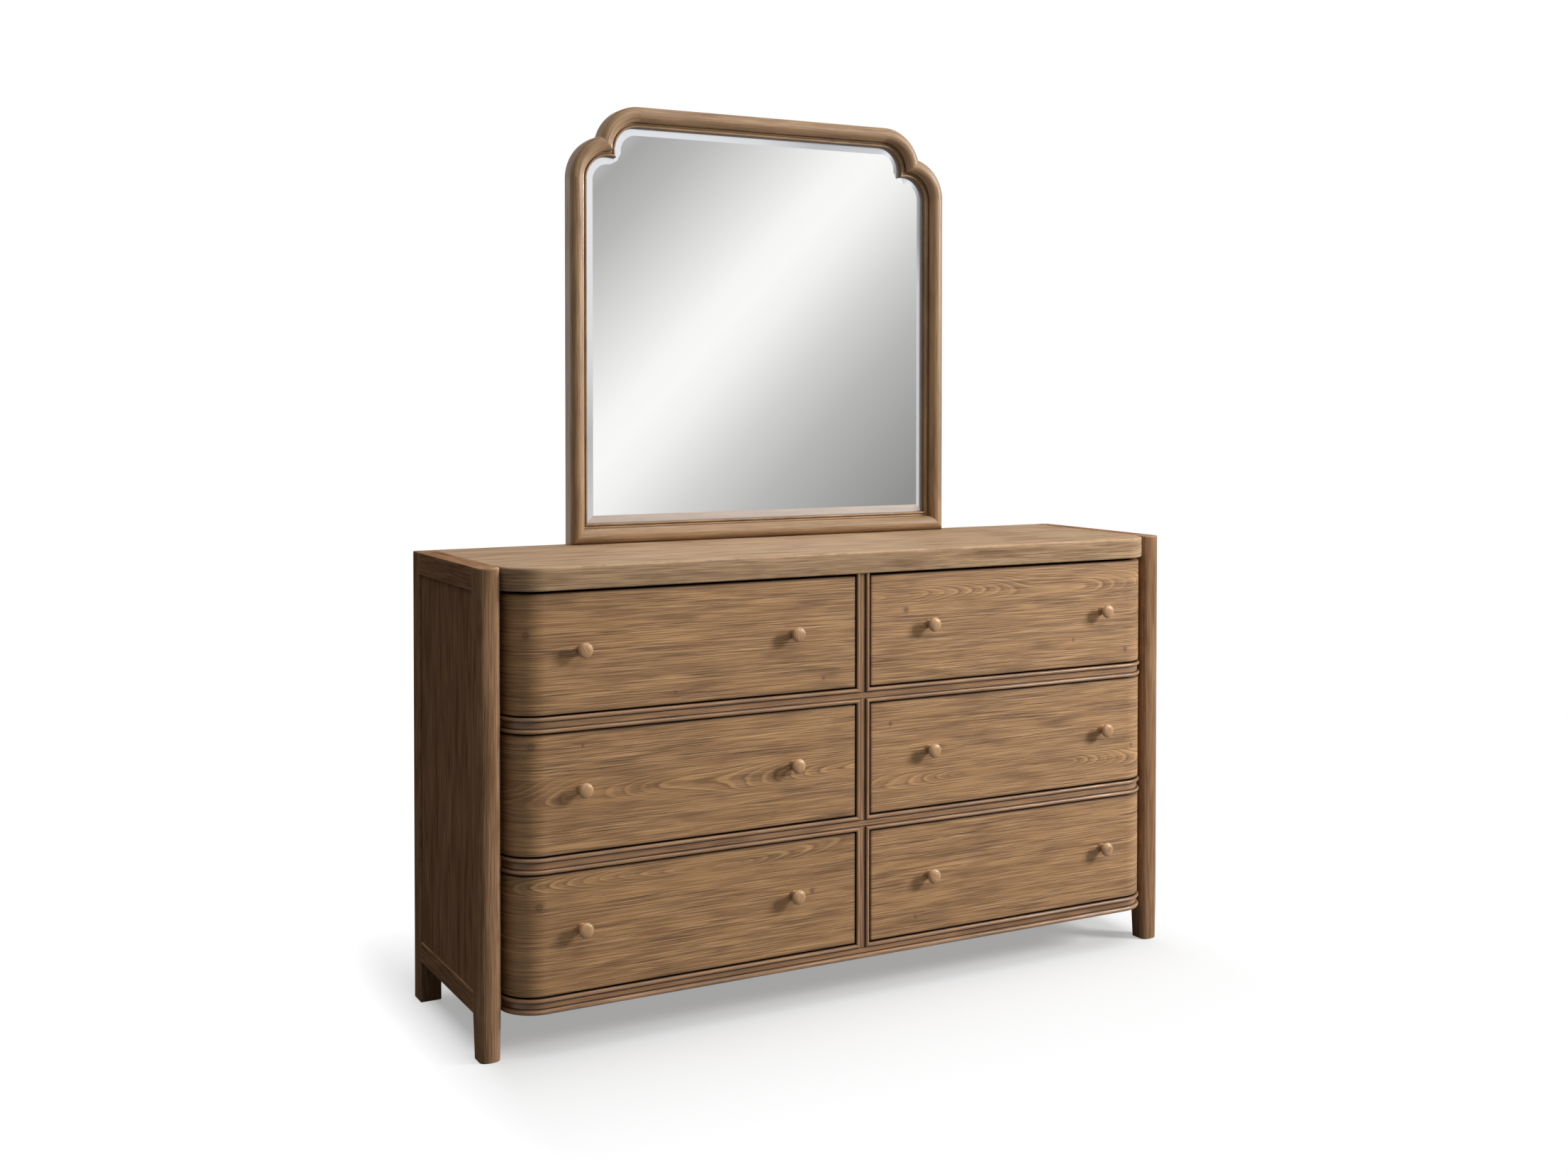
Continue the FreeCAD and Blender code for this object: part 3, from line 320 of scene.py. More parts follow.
def eased_rows(start, end, ease, stops=(), guard=0.005):
    """Rows of a plank with softened ends and plain rows at the stops between them."""
    ends = ((0, guard, 0), (0, ease, 0.5), (0.3 * ease, 0.3 * ease, 1), (ease, 0, 0.5), (guard, 0, 0))
    first = [(start + way, inset, wear) for way, inset, wear in ends]
    last = [(end - way, inset, wear) for way, inset, wear in ends[::-1]]
    return first + [(stop, 0, 0) for stop in stops] + last


back_of_case = 0.2365


def at(x, depth, height):
    """A point by its X, its depth ahead of the back of the case, and its height."""
    return Vector((x, back_of_case - depth, height))


leg_half = 0.0225
leg_middle = 0.8155
leg_nose = 0.434
leg_back = 0.388
leg_height = 0.956
dome_radius = 0.040
round_radius = 0.014
leg_ease = 0.001
leg_guard = 0.005
foot_top = 0.088
foot_thinner = 0.0015
foot_back_shorter = 0.005
post_pine = pine("post_pine", srgb(161, 126, 97), srgb(126, 95, 70), brushing=0.25, figure=0.25, gloss=0.0)

# a dome between two smaller rounds, which it meets without a corner
dome_centre = leg_nose - dome_radius
round_middle = leg_half - round_radius
between = dome_radius - round_radius
round_centre = dome_centre + math.sqrt(between**2 - round_middle**2)
meet = math.degrees(math.acos(round_middle / between))
leg_section = [
    *arc(leg_half - leg_ease, leg_back + leg_ease, leg_ease, -90, 0, 2, 0.5),
    (leg_half, leg_back + leg_guard, 0),
    (leg_half, round_centre - 0.004, 0),
    *arc(round_middle, round_centre, round_radius, 0, meet, 7, 0.25),
    *arc(0, dome_centre, dome_radius, meet, 180 - meet, 8)[1:],
    *arc(-round_middle, round_centre, round_radius, 180 - meet, 180, 7, 0.25)[1:],
    (-leg_half, round_centre - 0.004, 0),
    (-leg_half, leg_back + leg_guard, 0),
    *arc(-leg_half + leg_ease, leg_back + leg_ease, leg_ease, 180, 270, 2, 0.5),
]
for side, sign in (("left", -1), ("right", 1)):

    def stand_leg(height, across, depth):
        """The leg draws in below the base rail: a little at its sides, more at its back."""
        drawn = max(0, 1 - height / foot_top)
        ahead = (depth - leg_back) / (leg_nose - leg_back)
        x = sign * leg_middle + across * (1 - drawn * foot_thinner / leg_half)
        depth += drawn * (foot_back_shorter * (1 - ahead) - foot_thinner * ahead)
        return at(x, depth, height), height

    leg = new_piece()
    rows = eased_rows(0, leg_height, 0.002, (foot_top, 0.3, 0.6))
    plank(leg, leg_section, rows, stand_leg, (sign * 1.3, 0.05, -0.33))
    settle(leg, f"front_post_{side}", post_pine, "case", [f"front_leg_{side}"])

# ---------------------------------------------------------------- side frames and panels
# Each side is a frame of a square rear post and two rails, all of pine, tenoned together.
# A thinner board lies loose in grooves inside the frame, a little back from its face.


def squared(across_low, across_high, out_low, out_high, ease=0.001, guard=0.005, worn=1.0):
    """Section of a squared board with softened edges, worn pale or, below 0, painted dark as shade."""
    guard = min(guard, (out_high - out_low) * 0.4)
    points = []
    corners = (
        (across_low, out_low, (0, 1), (1, 0)),
        (across_high, out_low, (-1, 0), (0, 1)),
        (across_high, out_high, (0, -1), (-1, 0)),
        (across_low, out_high, (1, 0), (0, -1)),
    )
    for across, out, back, on in corners:
        points.append((across + back[0] * guard, out + back[1] * guard, 0))
        for step in range(4):
            turn = math.radians(30 * step)
            lift = 1 - math.cos(turn), 1 - math.sin(turn)
            points.append((
                across + ease * (back[0] * lift[1] + on[0] * lift[0]),
                out + ease * (back[1] * lift[1] + on[1] * lift[0]),
                worn if step in (1, 2) else worn / 2,
            ))
        points.append((across + on[0] * guard, out + on[1] * guard, 0))
    return points


side_inner = 0.793
side_outer = 0.838
rear_leg_depth = 0.044
top_low = 0.910
bottom_rail_top = 0.130
rail_ease = 0.0008
panel_groove = 0.010
panel_inner = 0.820
panel_outer = 0.834
side_pine = pine("side_pine", srgb(156, 118, 91), srgb(119, 88, 65), brushing=0.4, figure=0.35, gloss=0.0)
for side, sign in (("left", -1), ("right", 1)):
    rear_leg = new_piece()
    plank(
        rear_leg, squared(side_inner, side_outer, 0, rear_leg_depth), eased_rows(0, leg_height, 0.002),
        lambda height, x, depth: (at(sign * x, depth, height), height), (sign * 2.1, -0.72, 0.03),
    )
    settle(rear_leg, f"rear_post_{side}", post_pine, "case", [f"rear_leg_{side}"])
    for place, low, high, shift in (
        ("top", top_low, leg_height, 3.1), ("bottom", foot_top, bottom_rail_top, 4.4),
    ):
        rail = new_piece()
        plank(
            rail, squared(low, high, side_inner, side_outer, rail_ease),
            eased_rows(rear_leg_depth, leg_back, rail_ease),
            lambda depth, height, x: (at(sign * x, depth, height), depth),
            (sign * shift, -low - 0.08, -0.76),
        )
        settle(rail, f"side_{place}_bar_{side}", side_pine, "case", [f"side_{place}_rail_{side}"])
    panel = new_piece()
    plank(
        panel,
        squared(rear_leg_depth - panel_groove, leg_back + panel_groove, panel_inner, panel_outer),
        eased_rows(bottom_rail_top - panel_groove, top_low + panel_groove, 0.001),
        lambda height, depth, x: (at(sign * x, depth, height), height),
        (sign * 5.2, -0.22, -0.775),
    )
    settle(panel, f"side_board_{side}", side_pine, "case", [f"side_panel_{side}"])

# ---------------------------------------------------------------- top board
# A 46 mm pine board glued up from wide planks, between the two side frames. Its front
# corners are sawn round and its front edges are rounded over.

corner_centre = 0.714
corner_depth = 0.392
top_radius = 0.079
top_front = corner_depth + top_radius
side_ease = 0.0008
front_ease = 0.004
# the top's colour is paler and greyer than the fronts': partly its own wood and partly a painted sheen
top_pine_and_sheen = pine(
    "top_pine_and_sheen", srgb(176, 146, 113), srgb(143, 115, 86), brushing=0.5, figure=0.5, gloss=0.2, dull=0.7
)

# the outline runs round the front from the rear left corner: where each point is, which
# way it faces, how much its edges are eased and how far along the front edge it lies
corner_start = corner_centre + math.pi / 2 * top_radius
half_outline = [(-side_inner, depth, -1, 0, side_ease, -corner_start) for depth in (0, 0.2)]
for i in range(21):
    turn = math.pi / 2 * i / 20
    way_x, way_depth = -math.cos(turn), math.sin(turn)
    x, depth = top_radius * way_x - corner_centre, top_radius * way_depth + corner_depth
    ease = side_ease + (front_ease - side_ease) * min(1, i / 5)
    half_outline.append((x, depth, way_x, way_depth, ease, top_radius * turn - corner_start))
half_outline.append((-0.25, top_front, 0, 1, front_ease, -0.25))
outline = half_outline + [
    (-x, depth, -way_x, way_depth, ease, -run)
    for x, depth, way_x, way_depth, ease, run in half_outline[::-1]
]
top = new_piece()
grain = top.verts.layers.float_vector["grain"]
wear = top.verts.layers.float["wear"]
# how far each level lies up and in from the edge, counted in eases, and its wear
levels = [(0, 8, 0)]
for turn in (0, 22.5, 45, 67.5, 90):
    angle = math.radians(turn)
    levels.append((1 - math.cos(angle), 1 - math.sin(angle), 0.4 + 0.6 * math.sin(2 * angle)))
levels.append((3, 0, 0))
rings = []
for upper in (False, True):
    for rise, inset, worn in (levels[::-1] if upper else levels):
        ring = []
        for x, depth, way_x, way_depth, ease, run in outline:
            height = leg_height - rise * ease if upper else top_low + rise * ease
            x, depth = x - way_x * inset * ease, depth - way_depth * inset * ease
            point = top.verts.new(at(x, depth, height))
            in_log = (x, depth) if inset > 0.9 else (run, top_front)
            point[grain] = Vector((*in_log, height)) - Vector((0, 0.19, 0.87))
            point[wear] = worn
            ring.append(point)
        rings.append(ring)
skin(top, rings)
settle(top, "top_plank", top_pine_and_sheen, "case", ["top_board"])

# ---------------------------------------------------------------- beaded front rails
# Three pine rails cross the front between the drawers. Each is moulded with a round bead
# along both edges beside a fine groove, and bent back round the corners to the legs.

rail_height = 0.032
row_pitch = 0.273
flat_face = 0.462
flat_radius = flat_face - corner_depth
bead_width = 0.009
base_bead_width = 0.011
bead_crown = 0.005
bead_root = -0.006
quirk = 0.0012
half_stile = rail_height / 2
rail_pine = pine(
    "rail_pine", srgb(167, 126, 89), srgb(126, 92, 63), brushing=0.35, figure=0.3, gloss=0.4, dull=0.32
)


def round_case(run, out):
    """X and depth at a distance along the front from its middle, out from the flat band."""
    past = abs(run) - corner_centre
    if past <= 0:
        return run, flat_face + out
    turn = past / flat_radius
    reach = flat_radius + out
    x = corner_centre + reach * math.sin(turn)
    return math.copysign(x, run), corner_depth + reach * math.cos(turn)


def bead_section(middle, width):
    """Section of a round bead, 3 mm ahead of the drawer faces: painted shade low on its flanks, and rubbing
    with a painted highlight on top.
    """
    half = width / 2
    seat = bead_crown - half
    return [
        (middle + half, bead_root, 0),
        *[(across, out, 1.4 * (out - seat) / half - 1.15)
          for across, out, _ in arc(middle, seat, half, 0, 180, 14)],
        (middle - half, bead_root, 0),
    ]


corner_runs = [corner_centre + math.pi / 2 * flat_radius * i / 18 for i in range(19)]
for name, level, first_width, notches in (
    ("base_rail", 0, base_bead_width, (1,)),
    ("lower_rail", 1, bead_width, (0, 1)),
    ("upper_rail", 2, bead_width, (0, 1)),
):
    low = foot_top + level * row_pitch
    rail = new_piece()

    def bend_rail(run, across, out):
        x, depth = round_case(run, out)
        return at(x, depth, low + across), run

    def mitred(run, across, out):
        """A bead's inner end is cut to 45 degrees where the stile's bead meets it."""
        if abs(run) < half_stile:
            run = math.copysign(abs(across - half_stile), run)
        return bend_rail(run, across, out)

    # the flat band and its grooves, on the wood behind it. The grooves are painted dark as shade,
    # the upper one darker, as the light comes from above
    upper_bead = rail_height - bead_width
    face = [
        (0, -0.014, 0), (0, -0.001, 0), (first_width, -0.001, 0), (first_width, -quirk, -0.6),
        (first_width + quirk, -quirk, -0.65), (first_width + quirk, 0, -0.3),
        (first_width + 0.003, 0, 0), (upper_bead - 0.003, 0, 0),
        (upper_bead - quirk, 0, -0.5), (upper_bead - quirk, -quirk, -1),
        (upper_bead, -quirk, -0.9), (upper_bead, -0.001, 0),
        (rail_height, -0.001, 0), (rail_height, -0.014, 0),
    ]
    steps = [-run for run in corner_runs[::-1]] + [-0.3, 0, 0.3] + corner_runs
    log = (low * 9, 0.07, -0.21)
    plank(rail, face, [(step, 0, 0) for step in steps], bend_rail, log)
    # the beads
    for edge in (0, 1):
        width = bead_width if edge else first_width
        bead = bead_section(rail_height - width / 2 if edge else width / 2, width)
        if edge in notches:
            for sign in (-1, 1):
                runs = [sign * step for step in [0.010, 0.022, 0.3] + corner_runs]
                plank(rail, bead, [(step, 0, 0) for step in runs], mitred, log)
        else:
            plank(rail, bead, [(step, 0, 0) for step in steps], bend_rail, log)
    # the core fills the corners and reaches the legs, a hair inside the moulding
    core_back, core_end = 0.380, 0.401
    core_radius = flat_radius - 0.012
    core_drop = 0.0005
    core = [(-side_inner, core_back), (-side_inner, core_end), (-corner_centre - flat_radius, core_end)]
    for i in range(13):
        turn = math.pi / 2 * i / 12
        way_x, way_depth = -math.cos(turn), math.sin(turn)
        core.append((core_radius * way_x - corner_centre, core_radius * way_depth + corner_depth))
    core += [(-x, depth) for x, depth in core[::-1]]
    rings = [
        [rail.verts.new(at(x, depth, height)) for x, depth in core]
        for height in (low + core_drop, low + rail_height - core_drop)
    ]
    for point in rings[0] + rings[1]:
        point[rail.verts.layers.float_vector["grain"]] = point.co
    skin(rail, rings)
    settle(rail, f"{name}_moulding", rail_pine, "case", [name])

# ---------------------------------------------------------------- centre stiles
# Three short upright lengths of the same moulding between the rails, glued in with their
# beads mitred into the rails' beads, so that a bead frames every drawer opening.

stile_depth = 0.082
half_band = half_stile - bead_width
# the grooves beside the stile's flat band are painted dark as shade
right_half = [
    (half_stile, -stile_depth, 0), (half_stile, -0.001, 0), (half_band, -0.001, 0),
    (half_band, -quirk, -0.9), (half_band - quirk, -quirk, -1), (half_band - quirk, 0, -0.5),
    (0.003, 0, 0),
]
left_half = [(-across, out, worn) for across, out, worn in right_half[::-1]]
flat = left_half[-1:] + right_half + left_half[:-1]
stile = new_piece()
for level in range(3):
    low = foot_top + rail_height + level * row_pitch
    high = foot_top + (level + 1) * row_pitch if level < 2 else top_low

    def stand_flat(height, x, out):
        """The flat band runs on to the rails' flat bands between the mitres."""
        inside = max(0, half_stile - abs(x)) if out > -0.05 else 0
        reach = min(inside, bead_width)
        if height < low + 0.001:
            height = low - reach
        elif height > high - 0.001 and level < 2:
            height = high + reach
        return at(x, flat_face + out, height), height

    log = (low * 7, 0.11, -0.25)
    rows = [(height, 0, 0) for height in (low, low + 0.02, high - 0.02, high)]
    plank(stile, flat, rows, stand_flat, log)
    for sign in (-1, 1):
        bead = bead_section(sign * (half_stile - bead_width / 2), bead_width)
        plank(stile, bead, rows, stand_flat, log)
settle(stile, "centre_stile_moulding", rail_pine, "case", ["centre_stiles"])

# ---------------------------------------------------------------- inside of the case
# Plain unstained pine: a partition behind the stiles, runners with guide strips for the
# drawer sides, cleats under the top, and two rails that the thin back is pinned to.

raw_pine = (srgb(206, 176, 136), srgb(176, 144, 106), 0.4, 0.8)
inner_pine = pine("inner_pine", *raw_pine, run="yzx")
cross_pine = pine("cross_pine", *raw_pine, run="xzy")
board_pine = pine("back_board", srgb(150, 120, 90), srgb(122, 96, 72), 0.25, 0.5, run="xzy")


def finish_plain(node, finish):
    """Gives its wood to a piece that keeps its plain form."""
    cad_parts[node].data.materials.clear()
    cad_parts[node].data.materials.append(finish)


for node in ("centre_partition", "drawer_runners", "top_cleats"):
    finish_plain(node, inner_pine)
finish_plain("back_rails", cross_pine)
finish_plain("back_panel", board_pine)

# ---------------------------------------------------------------- drawer fronts
# Six pine boards 22 mm thick, each bent back round the corner of the case at its outer end.
# Wire brushing has lifted the grain of their faces, and small knots are left in. Their edges
# are eased, and painted dark along them as shade in the gaps round the drawers.

front_height = 0.235
front_thick = 0.022
face_ease = 0.0018
face_guard = 0.006
# how dark the fronts' eased edges are painted, as shade in the gaps round them
painted_gap_shade = -0.9
face_depth = 0.464
face_radius = 0.072
front_inner = 0.019
row_low = {1: 0.669, 2: 0.396, 3: 0.123}
row_name = {1: "upper", 2: "middle", 3: "lower"}
front_straight = corner_centre - front_inner
front_runs = [front_straight + math.pi / 2 * face_radius * i / 24 for i in range(24)]
# where the heart of the log lay above the lower edge of each front, where along the front the
# saw came nearest to it, how fast it leaned away, and the knots
fronts = {
    (1, "left"): (
        0.330, 0.000, 0.010, [(0.735, 0.156, 0.011), (0.078, 0.026, 0.005), (0.420, 0.024, 0.004)],
    ),
    (2, "left"): (0.108, 0.100, 0.060, [(0.725, 0.214, 0.012), (0.620, 0.208, 0.004)]),
    (3, "left"): (0.215, 0.600, 0.070, [(0.710, 0.175, 0.012), (0.105, 0.127, 0.008)]),
    (1, "right"): (
        0.190, 0.150, 0.065, [(0.089, 0.157, 0.009), (0.690, 0.031, 0.008), (0.540, 0.062, 0.005)],
    ),
    (2, "right"): (0.055, 0.660, 0.070, [(0.050, 0.187, 0.006), (0.710, 0.080, 0.006)]),
    (3, "right"): (0.340, 0.000, 0.010, [(0.114, 0.036, 0.005), (0.745, 0.040, 0.008)]),
}
for (row, side), (heart, nearest, lean, knots) in fronts.items():
    sign = -1 if side == "left" else 1
    start = row * 3.3 + (7.0 if side == "right" else 0)
    finish = pine(
        f"front_pine_{row}_{side}", srgb(176, 134, 90), srgb(130, 95, 63), brushing=0.75,
        knots=[(start + run, above - heart, radius) for run, above, radius in knots],
        nearest=start + nearest, lean=lean,
    )

    def bend_front(run, above, out):
        """The plank runs from the middle of the case out to the leg and round the corner."""
        turn = max(0, run - front_straight) / face_radius
        reach = face_radius + out
        x = front_inner + run
        depth = face_depth + out
        if turn > 0:
            x = corner_centre + reach * math.sin(turn)
            depth = corner_depth + reach * math.cos(turn)
        return at(sign * x, depth, row_low[row] + above), run

    front = new_piece()
    section = squared(0, front_height, -front_thick, 0, face_ease, face_guard, painted_gap_shade)
    end = front_straight + math.pi / 2 * face_radius
    rows = eased_rows(0, end, face_ease, [0.2, 0.45] + front_runs[:-1], face_guard)
    rows = [(run, inset, painted_gap_shade * worn) for run, inset, worn in rows]
    plank(front, section, rows, bend_front, (start, -heart, front_thick))
    body = f"{row_name[row]}_{side}_drawer"
    settle(front, f"front_{row}_{side}", finish, body, [f"drawer_{row}_front_{side}"])

# ---------------------------------------------------------------- drawer boxes
# Each front has a box behind it: two pine sides grooved for a thin bottom, and a pine back.
# They are left unstained, as the insides of such drawers are.

bottom_board = pine("bottom_board", srgb(196, 168, 130), srgb(170, 140, 104), 0.2, 0.6, run="xyz")
for row in (1, 2, 3):
    for side in ("left", "right"):
        for piece, finish in (("sides", inner_pine), ("back", cross_pine), ("bottom", bottom_board)):
            finish_plain(f"drawer_{row}_{piece}_{side}", finish)

# ---------------------------------------------------------------- knobs
# Twelve mushroom knobs turned from pine: a small foot, a waisted neck and a domed head with
# a soft rim, stained and rubbed smooth. Each is screwed from inside its drawer front.

knob_pine = pine(
    "knob_pine", srgb(184, 142, 99), srgb(160, 120, 81), brushing=0.0, figure=0.1, gloss=0.5, dull=0.36
)
# rings of (radius, reach, wear): the edges of the foot and the rim of the head are rubbed pale, and the
# waist under the head is darker, as painted shade
knob_profile = [
    (0.0095, -0.001, 0), (0.0095, 0.0012, 0.4), (0.0090, 0.0022, 0.3), (0.0080, 0.0040, -0.5),
    (0.0074, 0.0070, -0.3), (0.0074, 0.0100, 0), (0.0080, 0.0130, 0), (0.0096, 0.0158, 0),
    (0.0120, 0.0178, 0), (0.0142, 0.0192, 0.2), (0.0152, 0.0205, 0.8), (0.0155, 0.0219, 1),
    (0.0152, 0.0232, 1), (0.0142, 0.0246, 0.6), (0.0124, 0.0259, 0.2), (0.0098, 0.0270, 0),
    (0.0064, 0.0277, 0), (0.0030, 0.02797, 0),
]


def turned(profile, steps):
    """A turned piece about an axis towards the front: rings of (radius, reach, wear)."""
    piece = new_piece()
    rings = []
    for radius, reach, worn in profile:
        ring = []
        for i in range(steps):
            turn = math.tau * i / steps
            point = piece.verts.new((radius * math.cos(turn), -reach, radius * math.sin(turn)))
            point[piece.verts.layers.float_vector["grain"]] = (point.co.x, point.co.z + 0.05, reach + 0.1)
            point[piece.verts.layers.float["wear"]] = worn
            ring.append(point)
        rings.append(ring)
    skin(piece, rings)
    return piece


def set_out_tree():
    """Copies a small piece to points, each turned its own way and from its own wood."""
    tree = bpy.data.node_groups.new("set out copies", "GeometryNodeTree")
    for name, way, kind in (
        ("Places", "INPUT", "Geometry"), ("Piece", "INPUT", "Object"), ("Most Turn", "INPUT", "Vector"),
        ("Seed", "INPUT", "Int"), ("Finish", "INPUT", "Material"), ("Copies", "OUTPUT", "Geometry"),
    ):
        tree.interface.new_socket(name, in_out=way, socket_type=f"NodeSocket{kind}")
    copies = Value(tree)
    places = copies.node("NodeGroupInput")
    piece = copies.node("GeometryNodeObjectInfo", (), {"Object": places.part("Piece")}, "Geometry")
    vectors = {"data_type": "FLOAT_VECTOR"}
    turn = copies.node(
        "FunctionNodeRandomValue", vectors,
        {0: (0, 0, 0), 1: places.part("Most Turn"), "Seed": places.part("Seed")},
    )
    lie = copies.node(
        "FunctionNodeRandomValue", vectors,
        {0: (0, 0, 0), 1: (9.0, 0.03, 0.03), "Seed": places.part("Seed") + 1},
    )
    set_out = copies.node(
        "GeometryNodeInstanceOnPoints", (), {"Points": places, "Instance": piece, "Rotation": turn}
    )
    own_wood = copies.node(
        "GeometryNodeStoreNamedAttribute", {**vectors, "domain": "INSTANCE"},
        {"Geometry": set_out, "Name": "lie", "Value": lie},
    )
    whole = copies.node("GeometryNodeRealizeInstances", (), {"Geometry": own_wood})
    grain = copies.node("GeometryNodeInputNamedAttribute", vectors, {"Name": "grain"})
    lie = copies.node("GeometryNodeInputNamedAttribute", vectors, {"Name": "lie"})
    moved = copies.node("ShaderNodeVectorMath", {"operation": "ADD"}, {0: grain, 1: lie})
    whole = copies.node(
        "GeometryNodeStoreNamedAttribute", {**vectors, "domain": "POINT"},
        {"Geometry": whole, "Name": "grain", "Value": moved},
    )
    finished = copies.node(
        "GeometryNodeSetMaterial", (), {"Geometry": whole, "Material": places.part("Finish")}
    )
    copies.node("NodeGroupOutput", (), {"Copies": finished})
    return tree


copying = set_out_tree()


def set_out(pattern, places, **sizes):
    """The plain mesh of a piece copied to places, ready to be settled."""
    spots = bmesh.new()
    for place in places:
        spots.verts.new(place)
    objects = []
    for name, shape in (("places", spots), ("pattern", pattern)):
        mesh = bpy.data.meshes.new(name)
        shape.to_mesh(mesh)
        shape.free()
        objects.append(bpy.data.objects.new(name, mesh))
        bpy.context.scene.collection.objects.link(objects[-1])
    points, single = objects
    grower = points.modifiers.new("set out", "NODES")
    grower.node_group = copying
    sizes["Piece"] = single
    for socket in copying.interface.items_tree:
        if socket.in_out == "INPUT" and socket.name in sizes:
            grower[socket.identifier] = sizes[socket.name]
    bpy.context.view_layer.update()
    seen = bpy.context.evaluated_depsgraph_get()
    copied = bpy.data.meshes.new_from_object(points.evaluated_get(seen), depsgraph=seen)
    piece = bmesh.new()
    piece.from_mesh(copied)
    points.modifiers.remove(grower)
    for made in objects:
        bpy.data.objects.remove(made)
    return piece


knob_middles = (0.168, 0.641)
knob_above = 0.124
for row in (1, 2, 3):
    for side, sign in (("left", -1), ("right", 1)):
        places = [at(sign * middle, face_depth, row_low[row] + knob_above) for middle in knob_middles]
        knobs = set_out(
            turned(knob_profile, 40), places,
            **{"Most Turn": (0, math.tau, 0), "Seed": row * 2 + sign, "Finish": knob_pine},
        )
        body = f"{row_name[row]}_{side}_drawer"
        settle(knobs, f"knobs_{row}_{side}", knob_pine, body, [f"drawer_{row}_knobs_{side}"])

# ---------------------------------------------------------------- mirror frame
# A moulded pine frame: a large half round, a sloping fillet and a small bead at the glass.
# Stiles and bottom rail are mitred, and the frame stands on the top board.

mirror_half = 0.491
mirror_low = leg_height
mirror_high = 1.934
shoulder_radius = 0.099
shoulder_step = 0.068
low_centre = (mirror_half - shoulder_radius, mirror_high - shoulder_radius - shoulder_step)
high_centre = (low_centre[0] - shoulder_step, low_centre[1] + shoulder_step)
frame_pine = pine(
    "frame_pine", srgb(163, 129, 93), srgb(109, 84, 58), brushing=0.15, figure=0.25, gloss=0.4, dull=0.42
)
# the half round is rubbed on its crown. The sloping fillet and the top of the small bead are
# painted paler as a highlight, and the step under the half round, the groove before the bead,
# the bead's side towards the glass and the rabbet are painted dark as shade
half_round = [
    (across, out, 0.2 * max(0, (out - 0.030) / 0.012) ** 2)
    for across, out, _ in arc(0.017, 0.025, 0.017, 180, 0, 28)
]
sight_bead = [
    (across, out, 0.5 - 1.1 * max(0, (across - 0.0435) / 0.0015))
    for across, out, _ in arc(0.04225, 0.018, 0.00275, 180, 0, 10)
]
member = [
    (0, 0, 0), (0, 0.004, 0), (0, 0.020, 0), *half_round,
    (0.034, 0.0200, -0.3), (0.0342, 0.0186, -0.6), (0.0352, 0.0188, 0), (0.037, 0.0182, 0.5),
    (0.0388, 0.0166, 0.2), (0.0394, 0.0162, -0.5), *sight_bead,
    (0.045, 0.009, -0.8), (0.037, 0.009, -1), (0.037, 0, 0),
]

steps = [(step / 6, 0, 0) for step in range(7)]
for side, sign in (("left", -1), ("right", 1)):

    def stand_member(along, inward, out):
        """The stile is mitred at its foot, and ends square under the shoulder."""
        height = mirror_low + inward + along * (low_centre[1] - mirror_low - inward)
        return at(sign * (mirror_half - inward), out, height), height

    upright = new_piece()
    plank(upright, member, steps, stand_member, (sign * 6.4, -0.14, 0.06))
    settle(upright, f"mirror_upright_{side}", frame_pine, "case", [f"mirror_stile_{side}"])

for name, node, half_length, mitre, level, rise, log in (
    ("sill", "mirror_bottom_rail", mirror_half, 1, mirror_low, 1, (8.5, 0.05, 0.12)),
    ("head", "mirror_top_rail", high_centre[0], 0, mirror_high, -1, (9.7, 0.07, 0.09)),
):

    def lay_member(along, inward, out):
        """The sill's ends are mitred, and the head's are square."""
        x = (2 * along - 1) * (half_length - mitre * inward)
        return at(x, out, level + rise * inward), x

    rail = new_piece()
    plank(rail, member, steps, lay_member, log)
    settle(rail, f"mirror_{name}", frame_pine, "case", [node])

# ---------------------------------------------------------------- mirror shoulders
# Each upper corner is cut from one block of pine: two moulded quarter rounds that meet in a
# mitred notch, glued between the stile and the head.

def mitre_turn(radius):
    """How far round from its start an arc of this radius meets the other one."""
    reach = math.sqrt(radius**2 / 2 - shoulder_step**2 / 4)
    return math.atan2(reach + shoulder_step / 2, reach - shoulder_step / 2)


shoulders = new_piece()
for sign in (-1, 1):
    for centre, part in ((low_centre, "low"), (high_centre, "high")):

        def bend_arc(along, inward, out):
            """Turns about the centre of the arc, to the mitre that it meets the other on."""
            radius = shoulder_radius - inward
            turn = mitre_turn(radius) * along
            if part == "high":
                turn = math.pi / 2 - turn
            x = centre[0] + radius * math.cos(turn)
            return at(sign * x, out, centre[1] + radius * math.sin(turn)), turn * shoulder_radius

        rows = [(step / 20, 0, 0) for step in range(21)]
        plank(shoulders, member, rows, bend_arc, (sign * 3.9 + (part == "low"), -0.10, 0.07))
settle(shoulders, "mirror_shoulder_blocks", frame_pine, "case", ["mirror_shoulders"])

# ---------------------------------------------------------------- mirror glass
# A 4 mm sheet silvered on its back, with a wide shallow bevel ground and polished round its
# face. It lies in the rabbet of the frame and follows its stepped shoulders.

glass_inset = 0.038
glass_thick = 0.004
bevel_width = 0.024
glass_front = 0.0104
glass_drop = 0.0016
notch_lean = 0.62


